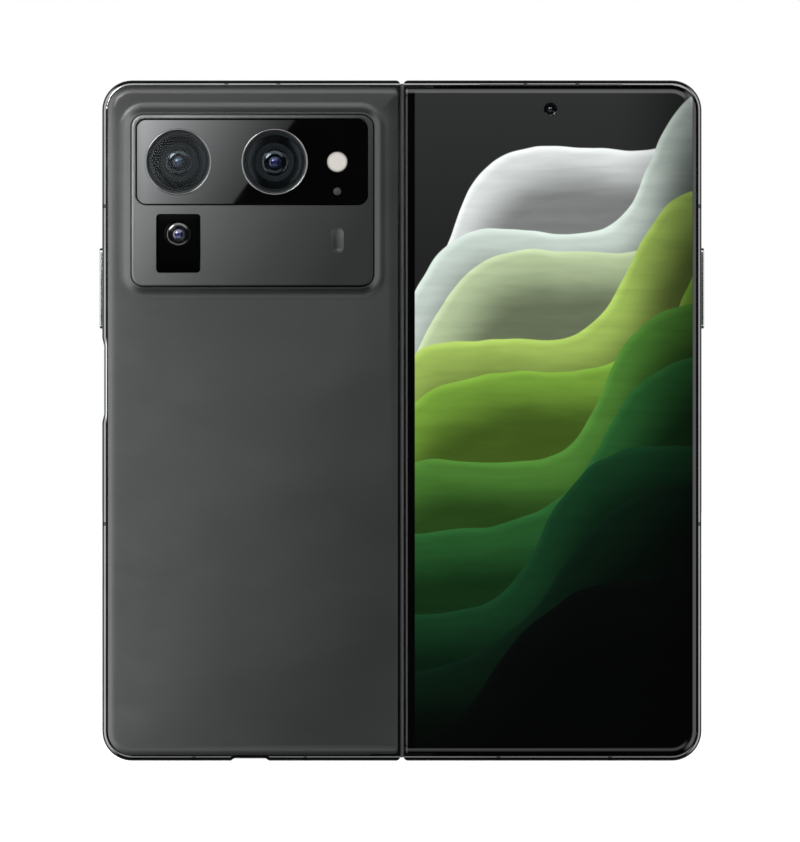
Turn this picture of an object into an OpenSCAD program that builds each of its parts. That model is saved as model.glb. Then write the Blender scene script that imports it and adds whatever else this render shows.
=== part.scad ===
// A folding phone, open flat and standing on its bottom edge.
// X runs across the phone, Z up its height, and the outer faces look towards -Y.
// The camera half lies at -X, the cover display half at +X, and the hinge line is X = 0.
// Depths are measured from the inner faces, which hold the folding display, outwards.
// Each half is drawn on the +X side and mirrored where it belongs on the other.

/* [Halves] */
// Width of each half, from the hinge line to its outer edge
half_w = 70.2; // [66:0.2:76]
// Height of the phone
height = 159.4; // [155:0.2:170]
// Thickness of each half
half_t = 6.9; // [6.7:0.1:8]
// Radius of the outer corners, seen from the front
corner_r = 7; // [5.5:0.5:10]
// Radius of the corners beside the hinge, seen from the front
hinge_corner_r = 1.1; // [0.6:0.1:1.6]
// Thickness of the frame's wall
wall = 2.2; // [1.9:0.1:2.6]
// Rounding of the frame's edge on the display side
edge_in_r = 0.8; // [0.4:0.1:1]
// Rounding of the frame's edge on the outer side
edge_out_r = 1.2; // [1:0.1:1.6]
// Width of the bright frame lip seen around the outer skins
lip_w = 1.3; // [1:0.1:1.3]
// Thickness of the frame's inner plate
plate_t = 0.6; // [0.4:0.1:0.8]

/* [Outer skins] */
// Thickness of the rear cover and of the cover glass with its panel
skin_t = 0.5; // [0.4:0.05:0.6]
// Width of the rolled edge of both skins
roll_w = 2; // [1.4:0.1:2.4]
// Drop of the rolled edge at the frame
roll_drop = 0.7; // [0.5:0.05:0.8]
// Thickness of the cover display panel under its glass
panel_t = 0.15; // [0.1:0.01:0.2]
// Distance of the cover display panel from the hinge line
panel_inset = 2.2; // [1.8:0.1:3]

/* [Inner display] */
// Thickness of the folding display
display_t = 0.5; // [0.4:0.05:0.6]
// Height of the bezel above the display
bezel_rise = 0.45; // [0.3:0.05:0.5]
// Width of the bezel
bezel_w = 1.8; // [1.4:0.1:2.6]
// Distance from the hinge line to the end of the strip that bends
fold_half = 6; // [6:0.1:6.8]

/* [Hinge] */
// Depth of the two hinge axes below the inner face
axis_depth = 3; // [2.9:0.05:3.2]
// Gap between the inner faces when the phone is shut
closed_gap = 0.4; // [0.3:0.05:0.6]
// Gap between the two halves at the hinge line when open
tip_gap = 0.8; // [0.6:0.1:1.2]
// Running clearance between the spine and the halves
hinge_clear = 0.12; // [0.1:0.01:0.2]
// Thickness of the hoods that cover the spine
hood_t = 0.4; // [0.3:0.05:0.5]
// Thickness of the spine cover
spine_wall = 0.55; // [0.45:0.05:0.6]
// Distance of the spine's ends from the ends of the frame
spine_inset = 0.8; // [0.8:0.1:1.2]
// Radius of the hinge shafts
shaft_r = 0.5; // [0.4:0.05:0.6]
// Running clearance of the shafts and gear pins, on the radius
shaft_clear = 0.05; // [0.03:0.01:0.08]
// Teeth on each half's gear; the idlers have half as many
gear_teeth = 16; // [16:2:20]
// Length of the arms' barrels
barrel_len = 11; // [8:0.5:16]
// Length of the gears
gear_len = 2.5; // [2:0.1:3.5]

/* [Camera deck] */
// Distance from the camera deck to the phone's outer edge
deck_side = 6.95; // [6:0.05:9]
// Height of the camera deck
deck_h = 40.2; // [38:0.2:42]
// Distance from the hinge line to the deck
deck_x = 6.75; // [6.75:0.05:8]
// Distance from the top of the phone to the deck
deck_top = 8.1; // [7:0.1:10]
// Radius of the deck's corners
deck_r = 2.9; // [2.5:0.1:4]
// Height of the deck above the rear cover
deck_rise = 1.9; // [1.4:0.1:2.2]
// Width of the soft swell around the deck
swell_w = 3.4; // [2:0.1:3.5]
// Height of the soft swell around the deck
swell_h = 1.2; // [0.8:0.1:1.4]
// Height of the lens rings above the deck
ring_rise = 0.5; // [0.4:0.1:0.8]
// Outer radius of the lens rings
ring_r = 7.75; // [7.2:0.05:8]
// Distance from the deck's outer side to the ultra-wide lens
wide_inset = 10.95; // [10:0.05:11.5]
// Gap around the glass panel and around the deck, seen as dark lines
deck_gap = 0.15; // [0.1:0.01:0.2]

/* [Keys and port] */
// Length of the long side keys
key_len = 18.9; // [15:0.1:20]
// Width of the side keys
key_w = 1.9; // [1.6:0.1:2.1]
// Height of the long keys above the frame
key_proud = 0.65; // [0.4:0.05:0.8]
// Height of the long keys' middle above the bottom edge
key_z = 110.7; // [108:0.1:114]
// Length of the recessed power key
power_len = 15; // [13:0.5:16]
// Height of the power key's middle above the bottom edge
power_z = 89.2; // [87:0.1:91]
// Travel of every key
key_travel = 0.25; // [0.15:0.05:0.3]
// Clearance around the keys and the tray in the frame
slot_clear = 0.1; // [0.08:0.01:0.15]
// Width of the charging socket's shell
port_w = 9; // [8.9:0.05:9.3]
// Thickness of the charging socket's shell
port_h = 3.2; // [3.1:0.05:3.3]
// Distance from the hinge line to the charging socket
port_x = 35.6; // [34:0.1:37]

/* [Inside] */
// Height of the lower bay, which holds the loudspeaker, the socket's board and the motor
lower_bay_h = 14.2; // [13:0.1:16]
// Height of the batteries
battery_h = 62; // [54:1:64]
// Width of the vibration motor
motor_w = 11.2; // [9:0.1:12]
// Thickness of the boards
board_t = 0.7; // [0.5:0.05:0.9]
// Height of the shields on the main board
shield_h = 1.5; // [1:0.1:1.7]

/* [Hidden] */
$fn = 48;
fit = 0.05;

total_depth = half_t + deck_rise + ring_rise;
tip_x = tip_gap / 2;
axis_x = axis_depth + closed_gap / 2;

// Depths through a half, from the inner face outwards
rim_in_v = 0.15;
display_v = bezel_rise;
plate_v = display_v + display_t;
floor_v = plate_v + plate_t;
hood_v = half_t - skin_t;
seat_v = hood_v - hood_t;
lip_v = half_t - roll_drop;
core_v = (floor_v + seat_v) / 2;

// The outer skins roll over along an arc
skin_in = lip_w + fit;
roll_r = arc_r(roll_w, roll_drop);
skin_tip = tip_x + 0.54;
skin_corner_r = 0.9;

// The hinge
spine_r = seat_v - hinge_clear - axis_depth;
swing_r = spine_r + hinge_clear;
web_x = axis_x + swing_r;
web_t = 1.2;
notch_r = axis_x - tip_gap / 8;
channel_r = spine_r - spine_wall;
gear_r = axis_x / 2;
idler_r = axis_x / 4;
tooth_m = 2 * gear_r / gear_teeth;
idler_teeth = gear_teeth / 2;
pressure_a = 28;
pin_r = idler_r * 0.35;
gear_root = 1.15;
gear_tip = 0.75;
backlash_a = 8.8;
spin_gap = 0.15;
stack_gap = 0.1;
barrel_r = min(channel_r, axis_depth - plate_v) - spin_gap;
end_wall = 1;
shaft_in = 0.25;
bore_clear = 0.01;
washer_z = spine_inset + end_wall + stack_gap;
washer_len = 2.8;
barrel_z = washer_z + washer_len + stack_gap;
gear_z = barrel_z + barrel_len;
bracket_z = gear_z + gear_len + spin_gap;
bracket_t = 2;
bridge_t = 0.9;
boss_r = shaft_r + 0.6;
leaf_t = 0.8;
leaf_x = 17;
leaf_inset = 0.5;
arm_screws = [11.2, 14.8];
arm_screw_inset = 2.5;
washer_cup = 0.35;
washer_dish = 0.25;
washer_pairs = 4;
ribbon_h = 16;
ribbon_up = 10;
ribbon_t = 0.15;
ribbon_lift = 0.25;
rest_w = 3;
rest_inset = 2;
over_leaf_v = floor_v + leaf_t + stack_gap;
screw_r = 0.6;
screw_head_r = 1.1;
screw_head_t = 0.4;

// The camera deck
swell_sink = 0.02;
deck_v = half_t + deck_rise;
deck_edge_r = 0.5;
deck_rim = 1;
deck_t = 1;
deck_flange = 0.5;
deck_z1 = height - deck_top;
deck_z0 = deck_z1 - deck_h;
deck_x1 = half_w - deck_side;
deck_w = deck_x1 - deck_x;
glass_t = 0.55;
glass_drop = 0.08;
glass_inset = 0.2;
glass_h = 20.2;
glass_z1 = deck_z1 - deck_rim;
glass_z0 = glass_z1 - glass_h;
glass_x0 = deck_x + deck_rim + glass_inset;
glass_x1 = deck_x1 - deck_rim;
glass_r = deck_r - deck_rim + glass_inset;
lens_z = (glass_z0 + glass_z1) / 2;
lens_share = 0.399;
wide_x = deck_x1 - wide_inset;
main_x = wide_x - lens_share * deck_w;
ring_v = deck_v + ring_rise;
ring_foot_v = deck_v - 1.4;
ring_bevel = 0.25;
ring_land = 0.3;
ring_seat = 0.6;
window_r = ring_r - 0.75;
window_t = 0.4;
window_v = ring_v - 0.2;
under_window = 0.1;
barrel_v = window_v - window_t - under_window;
barrel_mouth_r = 4.6;
barrel_front_r = window_r - 0.7;
lens_r = 3.2;
lens_dome = 0.9;
lens_sink = 1.5;
element_t = 0.6;
eye_depth = 2.2;
baffle_depth = 1.1;
baffle_step = 0.5;
house_w = 14.6;
house_gap = 0.3;
house_r = 1;
flash_share = 0.148;
flash_x = deck_x + flash_share * deck_w;
flash_r = 2.43;
flash_t = 1.2;
flash_rise = 0.05;
flash_bevel = 0.2;
sensor_r = 0.9;
sensor_z = lens_z - 6.9;
tele_x = wide_x;
tele_w = 10.3;
tele_h = 13.7;
tele_r = 0.85;
tele_z0 = deck_z0 + 3.2;
tele_lens_z = tele_z0 + 9;
tele_lens_r = 3.1;
tele_eye_r = 2;
tele_dome = 0.7;
tele_house_w = 10;
tele_barrel_v = deck_v - glass_drop - glass_t - under_window;
pill_x = flash_x;
pill_z = deck_z0 + 10.7;
pill_d = 0.5;
pill_drop = 0.25;
pill_hole_r = 0.6;
pill_bore_r = 0.35;
pill_w = 3.05;
pill_h = 6.3;

// Edge fittings
bezel_step = 0.2;
bezel_r = 0.25;
key_v = (rim_in_v + edge_in_r + lip_v - edge_out_r) / 2 + slot_clear;
key_flange = 0.4;
key_flange_t = 0.5;
key_step = 0.25;
switch_t = 0.35;
switch_inset = 3;
dome_r = 1.1;
dome_top_r = 0.7;
dome_h = 0.4;
dome_x = 6;
dish_d = 0.45;
dish_ramp = 1.9;
dish_margin = 0.5;
port_ramp = 0.8;
port_lip = 0.4;
port_v = lip_v - port_lip - port_h / 2 - fit;
port_len = 7.3;
port_wall = 0.3;
port_in = dish_d + 0.2;
port_back_t = 0.5;
tongue_w = 6.7;
tongue_t = 0.7;
tongue_in = port_in + 1.2;
tray_x = web_x + web_t + 6.7;
tray_w = 10.6;
tray_h = 2.2;
tray_v = lip_v - edge_out_r - tray_h / 2 - slot_clear;
tray_len = 15.5;
tray_tongue_t = 1.3;
tray_shoulder = 0.3;
tray_side = 0.9;
tray_end = 1;
reader_t = 0.4;
sound_r = 0.45;
sound_pitch = 1.7;
speaker_hole_x = 9.8;
mic_hole_x = 43.4;
ear_hole_x = 10.2;
break_w = 0.9;
break_top = [28.9, 41.1];
break_bottom = [22.6, 48.7];
break_side = [55.5, 129.9];

// What the halves hold
bay_x0 = web_x + web_t + 0.5;
bay_x1 = half_w - wall - 2;
bay_z0 = wall + 0.6;
bay_gap = 0.4;
skin_gap = 0.6;
rib_t = 0.8;
rib_gap = 0.3;
sub_z1 = bay_z0 + lower_bay_h;
battery_r = 2;
battery_z0 = sub_z1 + rib_t + 2 * rib_gap;
battery_z1 = battery_z0 + battery_h;
board_z0 = battery_z1 + rib_t + 2 * rib_gap;
board_v = floor_v + 1.2;
board_r = 1;
board_tab_gap = 2;
board_under_lens = 6;
post_r = 1.5;
post_hole_r = 0.7;
post_inset = 3;
shield_inset = 6;
shield_gap = 2;
shield_share = 0.535;
shield_r = 1.5;
speaker_clear = 8;
speaker_x1 = port_x - speaker_clear;
motor_x0 = bay_x1 - bay_gap - motor_w;
sub_board_gap = 0.8;
selfie_x = 34.8;
selfie_z = height - 6.8;
inner_eye_x = 35.1;
inner_eye_z = height - 7;
punch_r = 1.7;
eye_house_w = 5.6;
eye_house_r = 0.6;
eye_house_t = 2.6;
slit_x0 = 18.3;
slit_x1 = 51.6;
slit_w = 0.35;
slit_v = seat_v - 0.6;
slit_drop = 0.15;
sharp_r = 0.02;
panel_r = 0.6;

// ---- Drawing helpers ----

function y_at(v) = total_depth / 2 - v;

// A box between two X, two depths and two Z.
module block(x0, x1, v0, v1, z0, z1) {
    translate([x0, y_at(v1), z0]) cube([x1 - x0, v1 - v0, z1 - z0]);
}

// A front outline, drawn in X and Z, given thickness between two depths.
module plate(v0, v1) {
    translate([0, y_at(v0), 0]) rotate([90, 0, 0]) linear_extrude(v1 - v0) children();
}

// A section drawn as radius and depth, turned about a line along Y.
module turned(x, z) {
    translate([x, total_depth / 2, z]) rotate([90, 0, 0]) rotate_extrude() children();
}

// A rectangle in a section drawn as distance and depth.
module part_of_section(p0, p1, v0, v1) {
    translate([p0, y_at(v1)]) square([p1 - p0, v1 - v0]);
}

// A circle in a section drawn as distance and depth.
module round_of_section(p, v, r) {
    translate([p, y_at(v)]) circle(r);
}

// A rectangle with four round corners.
module rounded(x0, x1, z0, z1, r) {
    translate([x0 + r, z0]) square([x1 - x0 - 2 * r, z1 - z0]);
    translate([x0, z0 + r]) square([x1 - x0, z1 - z0 - 2 * r]);
    for (x = [x0 + r, x1 - r], z = [z0 + r, z1 - r]) translate([x, z]) circle(r);
}

// A bar with round ends, lying along X.
module stadium(x, z, length, width) {
    translate([x - (length - width) / 2, z - width / 2]) square([length - width, width]);
    for (s = [-1, 1]) translate([x + s * (length - width) / 2, z]) circle(width / 2);
}

// The outline of a half, drawn in by inset on its three free sides.
module half_outline(x0, inset, r0) {
    r = corner_r - inset;
    x1 = half_w - inset;
    z1 = height - inset;
    translate([x0 + r0, inset]) square([x1 - r - x0 - r0, z1 - inset]);
    translate([x1 - r - fit, inset + r]) square([r + fit, z1 - inset - 2 * r]);
    translate([x0, inset + r0]) square([2 * r0, z1 - inset - 2 * r0]);
    for (z = [inset + r, z1 - r]) translate([x1 - r, z]) circle(r);
    for (z = [inset + r0, z1 - r0]) translate([x0 + r0, z]) circle(r0);
}

// Sweeps a section along the bottom, outer and top sides. Its own zero lies on the outline.
module edge_sweep(x0, x1, z0, z1, r) {
    translate([x1, 0, z0 + r]) linear_extrude(z1 - z0 - 2 * r) children();
    translate([x1 - r, 0, z0 + r]) rotate([-90, 0, 0])
        rotate_extrude(angle = 90) translate([r, 0]) children();
    translate([x1 - r, 0, z1 - r]) rotate([0, -90, 0]) rotate([-90, 0, 0])
        rotate_extrude(angle = 90) translate([r, 0]) children();
    translate([x1 - r, 0, z1]) rotate([0, -90, 0]) linear_extrude(x1 - r - x0) children();
    translate([x0, 0, z0]) rotate([0, 90, 0]) linear_extrude(x1 - r - x0) children();
}

// Sweeps a section all the way round a rounded rectangle.
module loop_sweep(x0, x1, z0, z1, r) {
    middle = (x0 + x1) / 2;
    edge_sweep(middle, x1, z0, z1, r) children();
    translate([2 * middle, 0, 0]) mirror([1, 0, 0]) edge_sweep(middle, x1, z0, z1, r) children();
}

module left_half() {
    mirror([1, 0, 0]) children();
}

// The lower copy of a piece and its mirror image at the top.
module both_ends() {
    children();
    translate([0, 0, height]) mirror([0, 0, 1]) children();
}

// ---- Frames ----

// The wall of the frame: rounded outside, with a seat for the outer skin and one for the bezel.
module frame_section() {
    difference() {
        wall_profile(wall);
        part_of_section(-2 * wall - edge_out_r, -wall, 0, half_t);
        part_of_section(-wall - 1, -lip_w, seat_v, half_t);
        part_of_section(-wall - 1, -edge_in_r - bezel_step, 0, plate_v);
    }
}

// The rounded outer shape of the wall, filled inwards as far as it is told.
module wall_profile(reach) {
    part_of_section(-reach, -edge_out_r, rim_in_v + edge_in_r, lip_v);
    part_of_section(-reach, 0, rim_in_v + edge_in_r, lip_v - edge_out_r);
    part_of_section(-reach, -edge_in_r, rim_in_v, lip_v - edge_out_r);
    round_of_section(-edge_out_r, lip_v - edge_out_r, edge_out_r);
    round_of_section(-edge_in_r, rim_in_v + edge_in_r, edge_in_r);
}

// Where a half may reach beside the hinge line without touching the other one as they turn.
module swing_limit() {
    linear_extrude(height) {
        part_of_section(axis_x, half_w + 1, -1, half_t + 1);
        part_of_section(tip_x, axis_x + 1, axis_depth, half_t + 1);
        round_of_section(axis_x, axis_depth, notch_r);
    }
}

// The hood over the spine, hollowed so that the spine can turn inside it.
module hood() {
    difference() {
        union() {
            block(tip_x, web_x + web_t, axis_depth, hood_v, lip_w, height - lip_w);
            block(tip_x, skin_tip - fit, hood_v - fit, half_t - fit, lip_w, height - lip_w);
            intersection() {
                block(tip_x, web_x + web_t, axis_depth, half_t, 0, height);
                edge_sweep(0, half_w, 0, height, corner_r) frame_section();
            }
        }
        translate([axis_x, y_at(axis_depth), -1]) cylinder(height + 2, swing_r, swing_r);
        block(0, axis_x, 0, seat_v, -1, height + 1);
    }
}

// The thin cheeks that close the hood over the ends of the spine.
module cheeks() {
    cheek_t = spine_inset - 0.1;
    both_ends() intersection() {
        block(tip_x, web_x + web_t, 0, half_t, 0, cheek_t);
        edge_sweep(0, half_w, 0, height, corner_r) frame_section();
    }
}

module frame_shell() {
    intersection() {
        union() {
            edge_sweep(web_x, half_w, 0, height, corner_r) frame_section();
            plate(plate_v, floor_v) half_outline(web_x, wall - fit, leaf_inset);
            both_ends() block(web_x, web_x + web_t, floor_v - fit, seat_v, wall - lip_w, wall + fit);
            hood();
            cheeks();
        }
        plate(-1, half_t + 1) half_outline(tip_x, 0, hinge_corner_r);
        swing_limit();
    }
}

// Slots for the plastic breaks, and the breaks themselves when grown is zero.
module antenna_slices(grown) {
    w = break_w + 2 * grown;
    for (x = break_top) translate([x - w / 2, -half_w, height - wall - 1])
        cube([w, 2 * half_w, wall + 2]);
    for (x = break_bottom) translate([x - w / 2, -half_w, -1]) cube([w, 2 * half_w, wall + 2]);
    for (z = break_side) translate([half_w - wall - 1, -half_w, z - w / 2])
        cube([wall + 2, 2 * half_w, w]);
}

// The outer millimetre of the frame's wall, which the breaks fill.
module break_section() {
    intersection() {
        frame_section();
        part_of_section(-1, 0, 0, half_t);
    }
}

module antenna_breaks() {
    intersection() {
        edge_sweep(web_x + web_t, half_w, 0, height, corner_r) break_section();
        antenna_slices(0);
    }
}

module break_cuts() {
    intersection() {
        edge_sweep(web_x + web_t, half_w, 0, height, corner_r)
            part_of_section(-1, 1, 0, half_t);
        antenna_slices(0);
    }
}

// A slot through the outer side wall for a key.
module key_slot(z, length) {
    c = slot_clear;
    translate([half_w - wall - 1, y_at(key_v), z]) rotate([0, 90, 0])
        linear_extrude(wall + 2) stadium(0, 0, length + 2 * c, key_w + 2 * c);
}

module ribs(x0, x1, heights) {
    for (z = heights) block(x0, x1, floor_v - fit, core_v + rib_t, z, z + rib_t);
}

module sound_holes(x0, count, z) {
    for (i = [0 : count - 1])
        translate([x0 + i * sound_pitch, y_at(key_v), z]) cylinder(wall + 2, sound_r, sound_r);
}

module rear_frame() color("#3a3c3f") left_half() difference() {
    union() {
        frame_shell();
        ribs(bay_x0, bay_x1, [sub_z1 + rib_gap, battery_z1 + rib_gap]);
        posts(board_posts);
    }
    translate([half_w, 0, power_z]) edge_dish(power_len + 2 * dish_margin, dish_ramp);
    translate([port_x, 0, 0]) rotate([0, 90, 0]) edge_dish(port_w - 2 * port_ramp, port_ramp);
    break_cuts();
    key_slot(key_z, key_len);
    key_slot(power_z, power_len);
    plate(seat_v - fit, half_t) rounded(deck_x - deck_flange - fit, deck_x1 + deck_flange + fit,
        deck_z0 - deck_flange - fit, deck_z1 + deck_flange + fit, deck_r + deck_flange);
    translate([port_x, y_at(port_v), -1])
        linear_extrude(wall + 2) stadium(0, 0, port_w + 2 * fit, port_h + 2 * fit);
    translate([tray_x, y_at(tray_v), height - wall - 1])
        linear_extrude(wall + 2) stadium(0, 0, tray_w + 2 * slot_clear, tray_h + 2 * slot_clear);
    plate(plate_v - 1, floor_v + 1) translate([inner_eye_x, inner_eye_z]) circle(punch_r);
    sound_holes(speaker_hole_x, 6, -1);
    sound_holes(mic_hole_x, 1, -1);
}

// A shallow dish in an edge that runs along Z, such as the one round the power key: the wall's
// rounded shape is pushed in over a length and slopes out again beyond both its ends, and what
// lies outside of it goes.
module edge_dish(length, ramp) {
    slope = atan(dish_d / ramp);
    reach = length / 2 + 2 * ramp;
    difference() {
        block(-wall / 2, 1, -1, half_t + 1, -reach, reach);
        translate([-dish_d, 0, -reach]) linear_extrude(2 * reach) wall_profile(2 * wall);
        for (s = [-1, 1]) translate([-dish_d, 0, s * length / 2]) rotate([0, s * slope, 0])
            translate([0, 0, -2 * reach]) linear_extrude(4 * reach) wall_profile(2 * wall);
    }
}

module cover_frame() color("#3a3c3f") difference() {
    union() {
        frame_shell();
        ribs(bay_x0, bay_x1, [sub_z1 + rib_gap, battery_z1 + rib_gap]);
        posts(board_posts);
    }
    break_cuts();
    key_slot(key_z, key_len);
    block(slit_x0, slit_x1, slit_v, half_t, height - lip_w - fit, height - lip_w + slit_w);
    sound_holes(ear_hole_x, 5, height - wall - 1);
}

module rear_antenna_breaks() color("#17181a") left_half() antenna_breaks();
module cover_antenna_breaks() color("#17181a") antenna_breaks();

// ---- Outer skins ----

// The rolled rim of a skin, between a depth below and the rolled surface.
module roll_section(v0) {
    intersection() {
        part_of_section(-skin_in - roll_w - fit, -skin_in, v0, half_t);
        union() {
            round_of_section(-skin_in - roll_w, half_t - roll_r, roll_r);
            part_of_section(-skin_in - roll_w - 1, -skin_in - roll_w, 0, half_t);
        }
    }
}

// A skin with rolled edges on its three free sides. Beyond the hood its rim is thicker, down
// to the seat that runs round the frame.
module skin(v0) {
    intersection() {
        union() {
            plate(v0, half_t) half_outline(skin_tip, skin_in + roll_w, skin_corner_r);
            edge_sweep(skin_tip, half_w, 0, height, corner_r) roll_section(max(v0, hood_v));
            edge_sweep(web_x + web_t + fit, half_w, 0, height, corner_r) intersection() {
                roll_section(seat_v);
                part_of_section(-wall, 0, 0, half_t);
            }
        }
        plate(0, half_t) half_outline(skin_tip, skin_in, skin_corner_r);
    }
}

module deck_outline(grown) {
    rounded(deck_x - grown, deck_x1 + grown, deck_z0 - grown, deck_z1 + grown, deck_r + grown);
}

// The radius of an arc that starts level and rises by a height over a width.
function arc_r(w, h) = (w * w + h * h) / (2 * h);

// Two arcs carry the cover from its flat face up to the side of the deck.
module swell_section() {
    half_swell = swell_w / 2;
    crest_r = arc_r(half_swell, swell_h / 2);
    foot_r = arc_r(half_swell, swell_h / 2 + swell_sink);
    intersection() {
        part_of_section(-fit, half_swell, half_t - fit, half_t + swell_h);
        round_of_section(0, half_t + swell_h - crest_r, crest_r);
    }
    difference() {
        part_of_section(half_swell, swell_w, half_t - fit, half_t + swell_h / 2);
        round_of_section(swell_w, half_t - swell_sink + foot_r, foot_r);
    }
}

module rear_cover() color("#2e3331") left_half() difference() {
    union() {
        skin(hood_v);
        loop_sweep(deck_x, deck_x1, deck_z0, deck_z1, deck_r) swell_section();
    }
    plate(0, deck_v) deck_outline(deck_gap);
}

module cover_glass() color("#0b0d0e") skin(hood_v + panel_t);

// ---- Camera deck ----

module deck_holes() {
    for (x = [wide_x, main_x]) plate(0, deck_v + 1) translate([x, lens_z]) circle(ring_r + fit);
    plate(0, deck_v + 1) translate([flash_x, lens_z]) circle(flash_r + fit);
    plate(0, deck_v + 1) translate([flash_x, sensor_z]) circle(sensor_r + fit);
}

module tele_opening(grown) {
    rounded(tele_x - tele_w / 2 - grown, tele_x + tele_w / 2 + grown,
        tele_z0 - grown, tele_z0 + tele_h + grown, tele_r + grown);
}

module pill(grown) {
    translate([pill_x, pill_z]) rotate(90) stadium(0, 0, pill_h + 2 * grown, pill_w + 2 * grown);
}

module deck_body() {
    plate(seat_v, hood_v) deck_outline(deck_flange);
    plate(seat_v, deck_v - deck_edge_r) deck_outline(0);
    plate(deck_v - deck_edge_r - fit, deck_v) deck_outline(-deck_edge_r);
    loop_sweep(deck_x, deck_x1, deck_z0, deck_z1, deck_r)
        intersection() {
            part_of_section(-deck_edge_r - fit, 0, deck_v - 2 * deck_edge_r, deck_v);
            round_of_section(-deck_edge_r, deck_v - deck_edge_r, deck_edge_r);
        }
}

module camera_deck() color("#4a4d4f") left_half() difference() {
    deck_body();
    plate(0, deck_v - deck_t) deck_outline(-deck_rim);
    plate(deck_v - glass_t - glass_drop, deck_v + 1)
        rounded(glass_x0 - deck_gap, glass_x1 + deck_gap, glass_z0 - deck_gap,
            glass_z1 + deck_gap, glass_r + deck_gap);
    plate(0, deck_v + 1) tele_opening(fit);
    plate(deck_v - pill_d, deck_v + 1) pill(fit);
    plate(0, deck_v + 1) translate([pill_x, pill_z]) circle(pill_hole_r);
    deck_holes();
}

module camera_glass() color("#16181a") left_half() difference() {
    plate(deck_v - glass_t - glass_drop, deck_v - glass_drop)
        rounded(glass_x0, glass_x1, glass_z0, glass_z1, glass_r);
    deck_holes();
}

// A turned lens ring: a polished outer land, then a cone down to the window's seat.
module lens_ring(x) {
    land_r = ring_r - ring_bevel;
    turned(x, lens_z) polygon([[window_r - ring_seat, ring_foot_v], [ring_r, ring_foot_v],
        [ring_r, ring_v - ring_bevel], [land_r, ring_v], [land_r - ring_land, ring_v],
        [window_r + fit, window_v], [window_r + fit, window_v - window_t],
        [window_r - ring_seat, window_v - window_t]]);
}

module wide_lens_ring() color("#55585b") left_half() lens_ring(wide_x);
module main_lens_ring() color("#55585b") left_half() lens_ring(main_x);

module lens_windows() color("#20262c", 0.5) left_half() for (x = [wide_x, main_x])
    plate(window_v - window_t, window_v) translate([x, lens_z]) circle(window_r);

// A camera module: a square housing with a stepped, turned barrel in front.
module camera_body(x, z, mouth_v, body_r, mouth_r, eye_r, house) {
    difference() {
        union() {
            plate(floor_v + house_gap, seat_v)
                rounded(x - house / 2, x + house / 2, z - house / 2, z + house / 2, house_r);
            plate(seat_v - fit, mouth_v) translate([x, z]) circle(body_r);
        }
        turned(x, z) polygon([[0, mouth_v - eye_depth], [eye_r + fit, mouth_v - eye_depth],
            [eye_r + fit, mouth_v - baffle_depth], [mouth_r - baffle_step, mouth_v - baffle_step],
            [mouth_r, mouth_v - baffle_step], [mouth_r + baffle_step, mouth_v + 1],
            [0, mouth_v + 1]]);
    }
}

module wide_camera() color("#101113") left_half()
    camera_body(wide_x, lens_z, barrel_v, barrel_front_r, barrel_mouth_r, lens_r, house_w);
module main_camera() color("#101113") left_half()
    camera_body(main_x, lens_z, barrel_v, barrel_front_r, barrel_mouth_r, lens_r, house_w);
module tele_camera() color("#101113") left_half()
    camera_body(tele_x, tele_lens_z, tele_barrel_v, tele_lens_r + baffle_step, tele_lens_r,
        tele_eye_r, tele_house_w);

// The front element of a lens: a disc with a domed face.
module front_element(x, z, seat, r, dome) {
    sphere_r = arc_r(r, dome);
    turned(x, z) intersection() {
        translate([0, seat - element_t]) square([r, element_t + dome]);
        translate([0, seat + dome - sphere_r]) circle(sphere_r);
    }
}

module wide_lens() color("#26323c") left_half()
    front_element(wide_x, lens_z, barrel_v - lens_sink, lens_r, lens_dome);
module main_lens() color("#2b2f4a") left_half()
    front_element(main_x, lens_z, barrel_v - lens_sink, lens_r, lens_dome);
module tele_lens() color("#24435c") left_half()
    front_element(tele_x, tele_lens_z, tele_barrel_v - lens_sink, tele_eye_r, tele_dome);

module tele_window() color("#08090a") left_half()
    plate(deck_v - glass_drop - glass_t, deck_v - glass_drop) tele_opening(0);

module flash_lens() color("#e8e6df") left_half()
    turned(flash_x, lens_z) polygon([[0, deck_v - flash_t], [flash_r, deck_v - flash_t],
        [flash_r, deck_v - 2 * flash_rise], [flash_r - flash_bevel, deck_v + flash_rise],
        [0, deck_v + flash_rise]]);

module sensor_lens() color("#5a5d60") left_half()
    plate(deck_v - deck_t, deck_v - fit) translate([flash_x, sensor_z]) circle(sensor_r);

module microphone_grille() color("#2a2c2e") left_half() difference() {
    plate(deck_v - pill_d, deck_v - pill_drop) pill(0);
    plate(0, deck_v + 1) translate([pill_x, pill_z]) circle(pill_bore_r);
}

// ---- Keys, port and tray ----

// A key: a pad that reaches through the wall, its worn edge stepped, and a flange behind it.
module key(z, length, top) {
    back = half_w - wall - fit;
    translate([back - fit, y_at(key_v), z]) rotate([0, 90, 0])
        linear_extrude(wall + 2 * fit + top - key_step) stadium(0, 0, length, key_w);
    translate([half_w + top - key_step - fit, y_at(key_v), z]) rotate([0, 90, 0])
        linear_extrude(key_step + fit) stadium(0, 0, length - 2 * key_step, key_w - 2 * key_step);
    translate([back - key_flange_t, y_at(key_v), z]) rotate([0, 90, 0])
        linear_extrude(key_flange_t) stadium(0, 0, length + 2 * key_flange, key_w + 2 * key_flange);
}

module volume_key() color("#46484b") left_half() key(key_z, key_len, key_proud);
module power_key() color("#8f9294") left_half() key(power_z, power_len, fit - dish_d);
module cover_key() color("#46484b") key(key_z, key_len, key_proud);

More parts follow.
